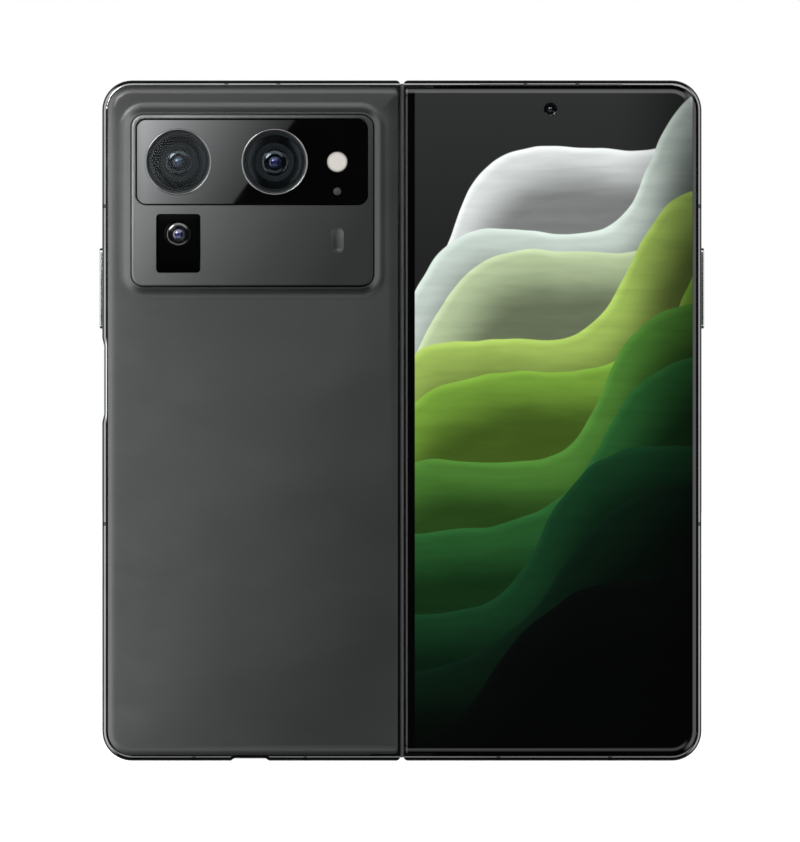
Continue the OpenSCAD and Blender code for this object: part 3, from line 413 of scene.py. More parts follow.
def middle_of(node):
    """Middle of a round CAD node and its radius, in mm."""
    x0, x1, z0, z1 = flat_box(node)
    return (x0 + x1) / 2, (z0 + z1) / 2, (x1 - x0) / 2


def rounded_loop(x0, x1, z0, z1, r_low, r_high=None, steps=10):
    """A rounded rectangle in mm. r_low rounds the corners at x0, r_high those at x1."""
    r_high = r_low if r_high is None else r_high
    corners = [(x1 - r_high, z0 + r_high, r_high, -90), (x1 - r_high, z1 - r_high, r_high, 0),
               (x0 + r_low, z1 - r_low, r_low, 90), (x0 + r_low, z0 + r_low, r_low, 180)]
    loop = []
    for x, z, r, start in corners:
        for k in range(steps + 1):
            a = math.radians(start + 90 * k / steps)
            loop.append((x + r * math.cos(a), z + r * math.sin(a)))
    return loop


def circle_loop(x, z, r, count=96):
    turns = [2 * math.pi * k / count for k in range(count)]
    return [(x + r * math.cos(a), z + r * math.sin(a)) for a in turns]


def at_depth(loop, depth):
    return [Vector((x * MM, depth_y(depth), z * MM)) for x, z in loop]


def finish_mesh(name, mesh, finish):
    """Turns a bmesh into a smooth-shaded object with its finish."""
    bmesh.ops.recalc_face_normals(mesh, faces=mesh.faces)
    if mesh.calc_volume(signed=True) < 0:
        bmesh.ops.reverse_faces(mesh, faces=mesh.faces)
    data = bpy.data.meshes.new(name)
    mesh.to_mesh(data)
    mesh.free()
    data.shade_smooth()
    data.set_sharp_from_angle(angle=math.radians(SHARP_FROM))
    data.materials.append(finish.material)
    made = bpy.data.objects.new(name, data)
    bpy.context.scene.collection.objects.link(made)
    print(name, len(data.polygons), "faces")
    return made


def join_loops(mesh, loops, closed=True, around=False):
    """Quads between neighbouring loops, with a lid on each end, or round again to the first."""
    rows = [[mesh.verts.new(p) for p in loop] for loop in loops]
    pairs = list(zip(rows, rows[1:])) + ([(rows[-1], rows[0])] if around else [])
    for a, b in pairs:
        for i in range(len(a)):
            j = (i + 1) % len(a)
            mesh.faces.new((a[i], a[j], b[j], b[i]))
    if closed and not around:
        mesh.faces.new(rows[0])
        mesh.faces.new(rows[-1])
    return rows


def fill_between(mesh, *rows):
    """One flat face of triangles that all the rows bound, such as a plate with its holes."""
    edges = [mesh.edges.get((row[i], row[i - 1])) for row in rows for i in range(len(row))]
    bmesh.ops.triangle_fill(mesh, use_beauty=True, edges=edges)


def stacked(name, layers, finish, around=False):
    """A piece from (loop, depth) layers."""
    mesh = bmesh.new()
    join_loops(mesh, [at_depth(loop, depth) for loop, depth in layers], around=around)
    return finish_mesh(name, mesh, finish)


def turned(name, x, z, profile, finish, around=False):
    """A lathe piece from (radius, depth) points of its profile."""
    layers = [(circle_loop(x, z, r, TURNED_STEPS), depth) for r, depth in profile]
    return stacked(name, layers, finish, around)


def fit(piece, body, node=None):
    """Hangs a piece on its body and in the place of a CAD node."""
    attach(piece, body)
    if node:
        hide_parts(node)


print("inner faces at y =", round(inner_face_y / MM, 2), "mm")

# %% [markdown]
# Most surfaces are one base colour that a noise varies together with the gloss, so one helper
# makes them: metals with Metallic set and the noise drawn out along the streaks, plastics
# without. A second helper hands a finish to CAD nodes that are kept as they are.

# %% Helpers for finishes
def grained(name, low, high, rough, vary, size, detail=3, stretch=(1, 1, 1), bump=None, **more):
    """Colour from low to high and gloss from rough to rough + vary, along one noise."""
    finish = Finish(name)
    point, _, _, _ = finish.place()
    grain = finish.noise(point, size, detail, stretch)
    if bump:
        more["Normal"] = finish.bump(grain, *bump)
    return finish.set(Base_Color=finish.mix(grain, low, high), Roughness=rough + vary * grain, **more)


def paint(finish, *nodes):
    """Gives kept CAD nodes their finish."""
    for name in nodes:
        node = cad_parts[name]
        node.data.materials.clear()
        node.data.materials.append(finish.material)
    print("painted", ", ".join(nodes))


print(len(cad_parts), "CAD nodes to dress")

# %% [markdown]
# ## The frame
#
# Both frames are aluminium, anodised nearly black and polished. Real polish is never perfect:
# fine streaks run along the band and the gloss varies a little. The dish round the power key is
# cut with a diamond tool after anodising, so it is brighter. The antenna breaks are moulded
# plastic, flush with the metal and darker than it.

# %% Finish the frame
power_low, power_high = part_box("power_key")
key_middle = (power_low.z + power_high.z) / 2 / MM
key_half = (power_high.z - power_low.z) / 2 / MM
DISH_RUNOUT = 1.5
DISH_DEPTH = 4.0


def polished_aluminium(name, with_dish):
    """Dark polished metal with fine streaks. It is brighter where the dish was cut."""
    metal = Finish(name)
    point, x, _, z = metal.place()
    streaks = metal.noise(point, 0.35, 3, (6, 1, 6))
    handling = metal.noise(point, 9.0, 4)
    tone = metal.mix(handling, (0.135, 0.137, 0.140), (0.190, 0.192, 0.195))
    if with_dish:
        from_key = metal.maths("ABSOLUTE", z - key_middle)
        in_dish = 1.0 - metal.step(from_key, key_half, key_half + DISH_RUNOUT)
        in_dish = in_dish * metal.step(power_low.x / MM + DISH_DEPTH - x, 0.0, 1.0)
        tone = metal.mix(in_dish, tone, (0.42, 0.425, 0.43))
    return metal.set(Metallic=1.0, Base_Color=tone, Roughness=0.07 + 0.08 * handling,
                     Normal=metal.bump(streaks, 0.002, 0.3))


paint(polished_aluminium("polished_dark_aluminium", True), "rear_frame", "sim_tray")
paint(polished_aluminium("polished_dark_aluminium_cover_half", False), "cover_frame")
break_plastic = grained("antenna_break_plastic", (0.030, 0.031, 0.033), (0.050, 0.051, 0.054),
                        0.16, 0.10, size=0.15, detail=2, Metallic=0.9)
paint(break_plastic, "rear_antenna_breaks", "cover_antenna_breaks")

# %% [markdown]
# ## The rear cover
#
# The cover is a soft, thin sheet with a satin face. It rolls over at its three free edges and
# swells up along an S-curve to meet the camera deck. Its mesh is loops of the outline that
# step along the roll, and loops of the deck's outline that step along the swell, with one flat
# face between them.

# %% Measure the cover
DECK_FLANGE = 0.5
COVER_DEPTH = 6.9
SEAT_DEPTH = 6.4
ROLL_WIDTH = 2.0
ROLL_DROP = 0.7
RIM_WIDTH = 1.4
OUTER_CORNER = 5.65
HINGE_CORNER = 0.9
HINGE_BEVEL = 0.12
SWELL_WIDTH = 3.2
SWELL_CREST = 0.7
SWELL_HEIGHT = 1.2
GAP = 0.26
DECK_CORNER = 2.9
cover_x0, cover_x1, cover_z0, cover_z1 = flat_box("rear_cover")
deck_x0, deck_x1, deck_z0, deck_z1 = flat_box("camera_deck")
rim_depth = (inner_face_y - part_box("rear_cover")[1].y) / MM
roll_r = (ROLL_WIDTH**2 + ROLL_DROP**2) / (2 * ROLL_DROP)
foot_width = SWELL_WIDTH - SWELL_CREST
crest_r = (SWELL_WIDTH**2 + SWELL_HEIGHT**2) / (2 * SWELL_HEIGHT) * SWELL_CREST / SWELL_WIDTH
foot_r = crest_r * foot_width / SWELL_CREST


def cover_loop(inset):
    """The cover's outline, drawn in on its three free sides."""
    bevel = HINGE_BEVEL * inset / ROLL_WIDTH
    return rounded_loop(cover_x0 + inset, cover_x1 - bevel, cover_z0 + inset, cover_z1 - inset,
                        OUTER_CORNER - inset, HINGE_CORNER, steps=16)


def roll_depth(inset):
    return COVER_DEPTH - roll_r + math.sqrt(roll_r**2 - (ROLL_WIDTH - inset) ** 2)


def deck_loop(grown):
    """The deck's outline without its hidden flange, grown on all sides."""
    out = grown - DECK_FLANGE
    return rounded_loop(deck_x0 - out, deck_x1 + out, deck_z0 - out, deck_z1 + out,
                        DECK_CORNER + grown, steps=16)


def swell_depth(away):
    """Height of the swell at a distance from the deck's side: a wide foot, a narrow crest."""
    if away > SWELL_CREST:
        return COVER_DEPTH + foot_r - math.sqrt(foot_r**2 - (SWELL_WIDTH - away) ** 2)
    return COVER_DEPTH + SWELL_HEIGHT - crest_r + math.sqrt(crest_r**2 - away**2)


print("roll radius", round(roll_r, 2), "mm, foot of the swell", round(foot_r, 2), "mm")

# %% [markdown]
# The finish is a dark grey-green film over soft fibre, with a thin satin coat. Its colour
# carries painted light that fades from the brighter outer side to the hinge, and painted shade
# that darkens it above the deck; slow clouds change its tone and gloss, and a fine grain breaks
# up the highlights.

# %% Finish the rear cover
PAINTED_LIGHT_START, PAINTED_LIGHT_WIDTH = 3.0, 66.0
PAINTED_SHADE_FROM, PAINTED_SHADE_FULL = 149.0, 155.0
soft_film = Finish("soft_grey_green_cover")
point, x, _, z = soft_film.place()
clouds = soft_film.noise(point, 26.0, 5, (1.3, 1, 0.8), 0.6)
wisps = soft_film.noise(point, 9.0, 6, (2.0, 1, 1), 1.2)
grain = soft_film.noise(point, 0.22, 2)
weave = soft_film.noise(point, 0.5, 2, (3.0, 1, 0.6))
# painted light: the colour brightens from the hinge towards the outer side
painted_light = soft_film.clamp((x * -1.0 - PAINTED_LIGHT_START) / PAINTED_LIGHT_WIDTH)
tone = soft_film.ramp(painted_light, [(0.0, srgb(44, 47, 46)), (0.3, srgb(50, 53, 52)),
                            (0.55, srgb(57, 60, 59)), (0.8, srgb(70, 72, 71)),
                            (1.0, srgb(82, 84, 83))])
# painted shade: the colour darkens above the deck
painted_shade_above_deck = 1.0 - 0.48 * soft_film.step(z, PAINTED_SHADE_FROM, PAINTED_SHADE_FULL)
clouds_and_painted_shade = (0.43 + 0.56 * clouds + 0.30 * wisps) * painted_shade_above_deck
soft_film.set(
    Base_Color=soft_film.mix(1.0, tone, soft_film.grey(clouds_and_painted_shade), "MULTIPLY"),
    Roughness=0.30 + 0.12 * clouds + 0.06 * grain, Coat_Weight=0.35, Coat_Roughness=0.22,
    Normal=soft_film.bump(0.7 * grain + 0.3 * weave, 0.006, 0.5),
)
print("the cover's finish has", len(soft_film.tree.nodes), "nodes")

# %% [markdown]
# Two stacks of loops make the sheet: one steps down the rolled edge, one steps up the swell to
# the deck. The sheet is thicker under the roll, where its rim sits in the frame. A triangle
# fill closes the flat face between the two stacks, and the same at the back.

# %% Build the rear cover
ROLL_STEPS = [0.04, 0.12, 0.25, 0.42, 0.62, 0.85, 1.1, 1.4, 1.7, ROLL_WIDTH]
SWELL_STEPS = 20
mesh = bmesh.new()
rolled = [at_depth(cover_loop(RIM_WIDTH), SEAT_DEPTH), at_depth(cover_loop(RIM_WIDTH), rim_depth),
          at_depth(cover_loop(0.0), rim_depth), at_depth(cover_loop(0.0), roll_depth(0.0) - 0.05)]
rolled += [at_depth(cover_loop(inset), roll_depth(inset)) for inset in ROLL_STEPS]
roll_rows = join_loops(mesh, rolled, closed=False)
aways = [GAP + (SWELL_WIDTH - GAP) * (k / SWELL_STEPS) ** 1.4 for k in range(SWELL_STEPS, -1, -1)]
swelled = [at_depth(deck_loop(away), swell_depth(away)) for away in aways]
swelled += [at_depth(deck_loop(GAP), SEAT_DEPTH)]
swell_rows = join_loops(mesh, swelled, closed=False)
fill_between(mesh, roll_rows[-1], swell_rows[0])
fill_between(mesh, roll_rows[0], swell_rows[-1])
cover_skin = finish_mesh("rear_cover_skin", mesh, soft_film)
fit(cover_skin, "rear_half", "rear_cover")

# %% [markdown]
# ## The camera deck
#
# The deck is milled from aluminium and bead-blasted to a fine satin. Its colour carries
# painted light, which rises from the hinge side to the upper left, where a softbox would
# shine on it. The glossy panel that lies in it is black glass, and shows hardly more than the
# light card.

# %% Finish the deck and its panel
deck_metal = Finish("satin_deck_aluminium")
point, x, _, z = deck_metal.place()
blasted = deck_metal.noise(point, 0.12, 2)
cast = deck_metal.noise(point, 18.0, 3)
# painted light: the colour rises towards the upper left, where a softbox would shine on it
painted_light = deck_metal.clamp((x * -1.0 - 6.0) / 57.0 + (z - 131.0) / 100.0)
tone = deck_metal.ramp(painted_light, [(0.0, srgb(35, 37, 37)), (0.3, srgb(57, 59, 59)),
                             (0.55, srgb(80, 83, 82)), (0.75, srgb(100, 103, 102)),
                             (1.0, srgb(134, 137, 136))])
shade = deck_metal.grey(0.92 + 0.16 * cast)
deck_metal.set(Metallic=0.5, Base_Color=deck_metal.mix(1.0, tone, shade, "MULTIPLY"),
               Roughness=0.33 + 0.10 * blasted, Normal=deck_metal.bump(blasted, 0.003, 0.4))
paint(deck_metal, "camera_deck")
panel_glass = grained("black_panel_glass", (0.0006, 0.0006, 0.0007), (0.0012, 0.0012, 0.0013),
                      0.004, 0.01, size=6.0, detail=4, stretch=(2, 1, 1), IOR=1.55)

# %% [markdown]
# The glass lies in the deck with a ground, steep chamfer round its outline. The chamfer leans
# out of every softbox, so it draws the thin black line between glass and metal. The holes for
# the lens rings, the flash and the sensor are loops in the same flat face.

# %% Build the glass panel
CHAMFER, CHAMFER_DROP = 0.32, 0.42
PANEL_CORNER = 2.4
FIT = 0.05
panel_top = (inner_face_y - panel_low.y) / MM
panel_back = (inner_face_y - panel_high.y) / MM
x0, x1, z0, z1 = flat_box("camera_glass")


def panel_loop(inset):
    return rounded_loop(x0 + inset, x1 - inset, z0 + inset, z1 - inset, PANEL_CORNER - inset)


mesh = bmesh.new()
outline = [at_depth(panel_loop(0.0), panel_back), at_depth(panel_loop(0.0), panel_top - CHAMFER_DROP),
           at_depth(panel_loop(CHAMFER), panel_top)]
rows = join_loops(mesh, outline, closed=False)
fronts, backs = [rows[-1]], [rows[0]]
for node in ("wide_lens_ring", "main_lens_ring", "flash_lens", "sensor_lens"):
    x, z, r = middle_of(node)
    hole = [at_depth(circle_loop(x, z, r + FIT), depth) for depth in (panel_top, panel_back)]
    rows = join_loops(mesh, hole, closed=False)
    fronts.append(rows[0])
    backs.append(rows[-1])
fill_between(mesh, *fronts)
fill_between(mesh, *backs)
fit(finish_mesh("camera_panel", mesh, panel_glass), "rear_half", "camera_glass")

# %% [markdown]
# ## The lenses
#
# Each big lens is a stack of turned parts: a thin polished lip, a black collar inside it that
# carries the flat coated window, a glossy black cone, and curved elements deeper down. The
# cone leans so far that it mirrors the side softboxes but not the upper and lower ones, which
# gives its two soft light sectors. The window is clear, with a faint mirror layer that grows
# towards grazing views, so the parts below are really seen.

# %% Finishes of the lenses
ring_metal = grained("polished_ring_metal", (0.26, 0.265, 0.27), (0.36, 0.365, 0.37),
                     0.10, 0.06, size=0.2, detail=2, Metallic=1.0)
barrel_black = grained("matt_barrel_black", (0.006, 0.0062, 0.0065), (0.014, 0.0145, 0.015),
                       0.30, 0.2, size=0.3)
cone_black = grained("glossy_cone_black", (0.004, 0.0042, 0.0045), (0.008, 0.0085, 0.009),
                     0.20, 0.06, size=0.5)


def mirror_over(finish, ior, tint):
    """The share of mirrored light, what shows through, and the mirror itself."""
    through = finish.node("ShaderNodeBsdfTransparent", inputs={"Color": tint})
    mirror = finish.node("ShaderNodeBsdfGlossy", inputs={"Roughness": 0.02})
    return finish.node("ShaderNodeFresnel", inputs={"IOR": ior}), through, mirror


def wear(finish, shader):
    """Makes a shader the surface of a finish."""
    surface = finish.tree.nodes["Material Output"].inputs["Surface"]
    finish.tree.links.new(shader.socket, surface)


def clear_glass(name, tint, shine):
    """Sees through, with a mirror layer that grows towards grazing angles."""
    glass = Finish(name)
    share, through, mirror = mirror_over(glass, 1.35, tint)
    point, _, _, _ = glass.place()
    wipes = glass.noise(point, 4.0, 3)
    factor = glass.clamp(share * shine * (0.8 + 0.4 * wipes))
    wear(glass, glass.node("ShaderNodeMixShader", inputs={0: factor, 1: through, 2: mirror}))
    return glass


def element_glass(name, inner, outer, centre, radius):
    """A coated lens whose tint turns from one in the middle to another at the rim: the tints are the
    coating's, the bright middle fading to a black rim is painted light.
    """
    glass = Finish(name)
    _, x, _, z = glass.place()
    away = ((x - centre[0]) ** 2.0 + (z - centre[1]) ** 2.0) ** 0.5 / radius
    # painted light: brightest in the middle, black at the rim
    tint = glass.ramp(away, [(0.0, inner), (0.55, outer), (1.0, (0.004, 0.004, 0.005))])
    return glass.set(Base_Color=tint, Metallic=0.35, Roughness=0.06 + 0.05 * away, IOR=1.7,
                     Coat_Weight=1.0, Coat_Roughness=0.02)


paint(clear_glass("coated_window", (0.74, 0.78, 0.80), 0.17), "lens_windows")

# %% [markdown]
# One function turns a whole lens at the place of its CAD nodes, so both lenses are made alike
# and only the colours of their coatings differ. Profiles are points of radius and depth. The
# lip is a small arc, the cone drops at a steady slope, and the innermost lens is part of a ball.

# %% Turn the two big lenses
RING_TOP, RING_FOOT = 9.3, 7.4
RING_WALL = 0.36
LIP_ROUND = 0.17
WINDOW_TOP = 9.1
HOUSING_R = 6.35
CONE_MOUTH = 8.6


def dome(radius, edge_depth, rise, rows=8):
    """Profile of a domed face from its middle to its edge."""
    ball = (radius**2 + rise**2) / (2 * rise)
    angles = [math.asin(radius / ball) * k / rows for k in range(rows + 1)]
    return [(max(ball * math.sin(a), 0.02), edge_depth + rise - ball * (1 - math.cos(a)))
            for a in angles]


def big_lens(which, tint_in, tint_out):
    """Ring, barrel and elements of one lens, at the place of its CAD nodes."""
    x, z, r = middle_of(which + "_lens_ring")
    lip = [(r - LIP_ROUND + LIP_ROUND * math.cos(0.35 * k),
            RING_TOP - LIP_ROUND + LIP_ROUND * math.sin(0.35 * k)) for k in range(9)]
    ring = [(r, RING_FOOT), *lip, (r - RING_WALL, RING_TOP - 0.4), (r - RING_WALL, RING_FOOT)]
    collar = [(r - 0.37, RING_FOOT), (r - 0.37, RING_TOP - 0.25), (r - 0.45, RING_TOP - 0.12),
              (r - 0.62, WINDOW_TOP + 0.02), (r - 0.72, WINDOW_TOP - 0.45),
              (r - 1.35, WINDOW_TOP - 0.45), (r - 1.35, RING_FOOT)]
    cone = [(HOUSING_R, 6.6), (HOUSING_R, CONE_MOUTH), (6.3, CONE_MOUTH), (4.75, 7.45),
            (4.72, 7.40), (4.6, 7.30), (4.5, 7.0), (4.5, 6.6)]
    barrel = [(HOUSING_R, 6.0), (HOUSING_R, 6.55), (4.5, 6.55), (4.48, 7.12), (3.7, 7.10),
              (3.6, 6.95), (3.24, 6.92), (3.22, 6.0)]
    front = [(3.18, 7.05), (3.05, 7.18), (2.5, 7.42), (1.95, 7.50), (1.85, 7.40), (1.80, 7.0),
             (1.80, 6.4), (3.18, 6.4)]
    front_coat = element_glass(which + "_front_coating", (0.026, 0.030, 0.040),
                               (0.010, 0.011, 0.013), (x, z), 3.2)
    core_coat = element_glass(which + "_core_coating", tint_in, tint_out, (x, z), 1.8)
    for part, profile, finish, slot, node in (
            ("ring", ring, ring_metal, "ring_metal", "lens_ring"),
            ("collar", collar, barrel_black, "black_plastic", None),
            ("cone", cone, cone_black, "black_plastic", None),
            ("barrel", barrel, barrel_black, "black_plastic", "camera"),
            ("front_lens", front, front_coat, "clear_glass", "lens")):
        piece = turned(f"{which}_{part}", x, z, profile, finish, around=True)
        fit(piece, "rear_half", node and f"{which}_{node}")
    core = turned(which + "_core_lens", x, z, [*dome(1.78, 6.75, 0.55), (1.78, 6.3)], core_coat)
    fit(core, "rear_half")
    print(which, "lens at x", round(x, 2), "mm")


big_lens("wide", (0.22, 0.26, 0.38), (0.05, 0.06, 0.09))
big_lens("main", (0.14, 0.12, 0.42), (0.02, 0.02, 0.08))

# %% [markdown]
# ## The tele window
#
# The small camera sits behind a flat black window. A frame printed inside it leaves a field
# that is a trace less black and ends above the bottom edge, and the lens looks out through a
# round hole.

# %% Build the tele camera
pane_x0, pane_x1, pane_z0, pane_z1 = flat_box("tele_window")
tele_x = (pane_x0 + pane_x1) / 2
TELE_LENS_Z = 123.3
PANE_TOP, PANE_THICKNESS, PANE_BEVEL = 8.72, 0.5, 0.12
PANE_CORNER = 0.85
PRINT_EDGE, PRINT_FOOT, PRINT_SOFT = 0.55, 2.9, 0.1
PRINT_HALF = 5.15
window_black = Finish("black_window_glass")
point, x, _, z = window_black.place()
from_middle = window_black.maths("ABSOLUTE", x - tele_x)
in_width = window_black.step(PRINT_HALF - from_middle, PRINT_EDGE, PRINT_EDGE + PRINT_SOFT)
above_foot = window_black.step(z - pane_z0, PRINT_FOOT, PRINT_FOOT + PRINT_SOFT)
below_top = window_black.step(pane_z1 - z, PRINT_EDGE, PRINT_EDGE + PRINT_SOFT)
field = in_width * above_foot * below_top
wipes = window_black.noise(point, 3.0, 3)
window_black.set(
    Base_Color=window_black.mix(field, (0.0004, 0.0004, 0.0004), (0.0011, 0.0011, 0.0012)),
    Roughness=0.01 + 0.01 * wipes)


def pane_loop(inset, corner):
    return rounded_loop(pane_x0 + inset, pane_x1 - inset, pane_z0 + inset, pane_z1 - inset, corner)


def tele_pane():
    """The window: a rounded pane with bevelled edges and a round hole for the lens."""
    mesh = bmesh.new()
    back = PANE_TOP - PANE_THICKNESS
    outer = [(pane_loop(0.0, PANE_CORNER), back), (pane_loop(0.0, PANE_CORNER), PANE_TOP - PANE_BEVEL),
             (pane_loop(PANE_BEVEL, PANE_CORNER - 0.1), PANE_TOP)]
    hole = [(circle_loop(tele_x, TELE_LENS_Z, r, 64), depth)
            for r, depth in ((3.2, PANE_TOP), (3.1, PANE_TOP - 0.1), (3.1, back))]
    rows = join_loops(mesh, [at_depth(*layer) for layer in outer], closed=False)
    holes = join_loops(mesh, [at_depth(*layer) for layer in hole], closed=False)
    fill_between(mesh, rows[-1], holes[0])
    fill_between(mesh, rows[0], holes[-1])
    return finish_mesh("tele_window_pane", mesh, window_black)


fit(tele_pane(), "rear_half", "tele_window")
tele_front = element_glass("tele_front_coating", (0.010, 0.012, 0.02), (0.004, 0.0045, 0.006),
                           (tele_x, TELE_LENS_Z), 3.1)
tele_core = element_glass("tele_core_coating", (0.06, 0.07, 0.26), (0.010, 0.014, 0.05),
                          (tele_x, TELE_LENS_Z), 1.7)
for part, profile, finish, around, slot, node in (
        ("front_lens", [(3.08, 7.9), (2.9, 8.1), (2.3, 8.28), (1.75, 8.3), (1.68, 8.1), (1.66, 7.4),
                        (3.08, 7.4)], tele_front, True, "clear_glass", "tele_lens"),
        ("core_lens", [*dome(1.64, 7.7, 0.5), (1.64, 7.2)], tele_core, False, "clear_glass", None),
        ("barrel", [(3.1, 6.1), (3.1, 8.1), (3.09, 8.1), (3.09, 7.3), (0.2, 7.1), (0.2, 6.1)],
         barrel_black, True, "black_plastic", "tele_camera")):
    piece = turned("tele_" + part, tele_x, TELE_LENS_Z, profile, finish, around)
    fit(piece, "rear_half", node)

# %% [markdown]
# ## Flash, sensor and grille
#
# The flash is a milky disc with moulded rings that spread its light. A trace of light of its
# own stands for what shines on inside the milk. Below it a small grey sensor looks out, and
# lower down a hollow in the deck, shaped like a pill, leads to a microphone. Painted shade
# darkens the hollow towards its foot.

# %% Build the flash, the sensor and the hollow
flash_x, flash_z, flash_r = middle_of("flash_lens")
FLASH_RINGS = 14
RING_PITCH, RING_RISE = 0.16, 0.03
flash_milk = Finish("milky_flash")
point, x, _, z = flash_milk.place()
away = ((x - flash_x) ** 2.0 + (z - flash_z) ** 2.0) ** 0.5 / flash_r
mottle = flash_milk.noise(point, 0.5, 3)
milk = flash_milk.mix(flash_milk.step(away, 0.70, 0.93), srgb(226, 221, 214), srgb(190, 185, 178))
milk = flash_milk.mix(flash_milk.step(away, 0.93, 0.97), milk, (0.004, 0.004, 0.004))
flash_milk.set(Base_Color=milk, Roughness=0.30 + 0.1 * mottle, Emission_Color=milk,
               Emission_Strength=0.12)
ripples = [(flash_r - 0.1 - RING_PITCH * k, 8.86 + RING_RISE * (k % 2)) for k in range(FLASH_RINGS)]
flash = turned("flash_disc", flash_x, flash_z,
               [(flash_r, 7.7), (flash_r, 8.8), *ripples, (0.03, 8.9)], flash_milk)
fit(flash, "rear_half", "flash_lens")

sensor_grey = Finish("grey_sensor")
point, _, _, _ = sensor_grey.place()
specks = sensor_grey.step(sensor_grey.noise(point, 0.35, 2), 0.35, 0.65)
sensor_grey.set(Base_Color=sensor_grey.mix(specks, srgb(32, 31, 31), srgb(62, 60, 59)), Roughness=0.4)
sensor_x, sensor_z, _ = middle_of("sensor_lens")
sensor = turned("sensor_disc", sensor_x, sensor_z,
                [(0.9, 7.8), (0.9, 8.78), (0.84, 8.83), (0.6, 8.85), (0.03, 8.86)], sensor_grey)
fit(sensor, "rear_half", "sensor_lens")

pill_x0, pill_x1, pill_z0, pill_z1 = flat_box("microphone_grille")
PILL_ROUND = 1.524
BOWL_DEPTH, BOWL_STEPS = 0.42, 8
hollow_metal = Finish("hollow_metal")
point, _, _, z = hollow_metal.place()
# painted shade: the hollow darkens towards its foot
painted_light = hollow_metal.clamp((z - pill_z0) / 6.3)
tone = hollow_metal.ramp(painted_light, [(0.0, srgb(26, 28, 28)), (0.5, srgb(44, 46, 46)),
                               (1.0, srgb(78, 80, 80))])
hollow_metal.set(Base_Color=tone, Metallic=0.3,
                 Roughness=0.35 + 0.1 * hollow_metal.noise(point, 0.2, 2))


def pill_loop(inset):
    return rounded_loop(pill_x0 + inset, pill_x1 - inset, pill_z0 + inset, pill_z1 - inset,
                        PILL_ROUND - inset, steps=14)


bowl = [(pill_loop(1.45 * k / BOWL_STEPS), 8.78 - BOWL_DEPTH * math.sin(math.pi / 2 * k / BOWL_STEPS))
        for k in range(BOWL_STEPS + 1)]
hollow = stacked("microphone_hollow", [(pill_loop(0.0), 8.3), *bowl], hollow_metal)
fit(hollow, "rear_half", "microphone_grille")

# %% [markdown]
# ## Keys and socket
#
# The long keys stand proud of the frame, satin and with rounded edges. The power key lies in
# its dish and has a bright fingerprint face. Each is a stadium-shaped stack of loops, pushed
# out along X. The charging socket gets a row of contacts on each face of its tongue.

# %% Build the keys
key_metal = grained("satin_key_metal", (0.42, 0.43, 0.44), (0.56, 0.57, 0.58),
                    0.16, 0.12, size=0.3, stretch=(1, 1, 8), Metallic=1.0)
reader_face = grained("bright_reader_face", (0.62, 0.63, 0.64), (0.78, 0.79, 0.80),
                      0.14, 0.10, size=0.25, stretch=(1, 1, 8), Metallic=1.0)
KEY_FLANGE = 0.4
KEY_EDGE = 0.3
KEY_TURNS = (0, 0.3, 0.6, 0.9, 1.2, math.pi / 2)


def side_key(name, node, side, finish):
    """A key with rounded edges. side is -1 for the outer left edge and 1 for the right."""
    low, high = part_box(node)
    top = (high.x if side > 0 else low.x) / MM
    foot = (low.x if side > 0 else high.x) / MM
    y0, y1 = low.y / MM + KEY_FLANGE, high.y / MM - KEY_FLANGE
    z0, z1 = low.z / MM + KEY_FLANGE, high.z / MM - KEY_FLANGE
    heights = [(foot, 0.0)]
    heights += [(top - side * KEY_EDGE * (1 - math.sin(a)), KEY_EDGE * (1 - math.cos(a)))
                for a in KEY_TURNS]
    mesh = bmesh.new()
    loops = []
    for x, inset in heights:
        loop = rounded_loop(y0 + inset, y1 - inset, z0 + inset, z1 - inset,
                            (y1 - y0) / 2 - inset - 0.001, steps=12)
        loops.append([Vector((x * MM, y * MM, z * MM)) for y, z in loop])
    join_loops(mesh, loops)
    return finish_mesh(name, mesh, finish)


for node, side, finish, body, slot in (
        ("volume_key", -1, key_metal, "volume_button", "key_metal"),
        ("power_key", -1, reader_face, "power_button", "power_key_metal"),
        ("cover_key", 1, key_metal, "cover_button", "key_metal")):
    fit(side_key(node + "_cap", node, side, finish), body, node)

# %% [markdown]
# The shell of the charging socket is drawn steel. Its tongue carries a row of small gilt
# contacts on both faces, made from one box that is scaled and placed in a loop.

# %% Finish the socket and its contacts
socket_steel = grained("socket_steel", (0.42, 0.42, 0.43), (0.58, 0.58, 0.59),
                       0.22, 0.12, size=0.3, stretch=(1, 1, 6), Metallic=1.0)
contact_gold = grained("gold_contacts", (0.72, 0.50, 0.20), (0.86, 0.64, 0.30),
                       0.2, 0.1, size=0.2, detail=2, Metallic=1.0)
tongue_low, tongue_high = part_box("port_tongue")
CONTACTS = 12
CONTACT_HEIGHT, CONTACT_THICKNESS = 3.6 * MM, 0.06 * MM
CONTACT_EDGE = 0.012 * MM
mesh = bmesh.new()
pitch = (tongue_high.x - tongue_low.x) / (CONTACTS + 1)
size = Vector((pitch * 0.55, CONTACT_THICKNESS, CONTACT_HEIGHT))
for k in range(CONTACTS):
    for y in (tongue_low.y, tongue_high.y):
        middle = Vector((tongue_low.x + pitch * (k + 1), y, tongue_low.z + 2.2 * MM))
        for v in bmesh.ops.create_cube(mesh, size=1.0)["verts"]:
            v.co = middle + v.co * size
bmesh.ops.bevel(mesh, geom=mesh.edges[:], offset=CONTACT_EDGE, segments=1, affect="EDGES")
fit(finish_mesh("port_contacts", mesh, contact_gold), "rear_half")
paint(socket_steel, "charging_port")
paint(barrel_black, "port_tongue")

# %% [markdown]
# ## The cover display
#
# The cover glass curves down at its free edges, and the display glows behind it: a grey that
# sinks to black, crossed by folded ribbons from white through green. Each ribbon is one wavy
# line. What lies below the line belongs to the ribbon, its upper edge catches light, and it
# darkens downwards until the next ribbon covers it. A loop adds the ribbons from back to
# front. All of it is one Emission Color, because a screen gives light. It sinks to black at
# the foot and darkens to the right.

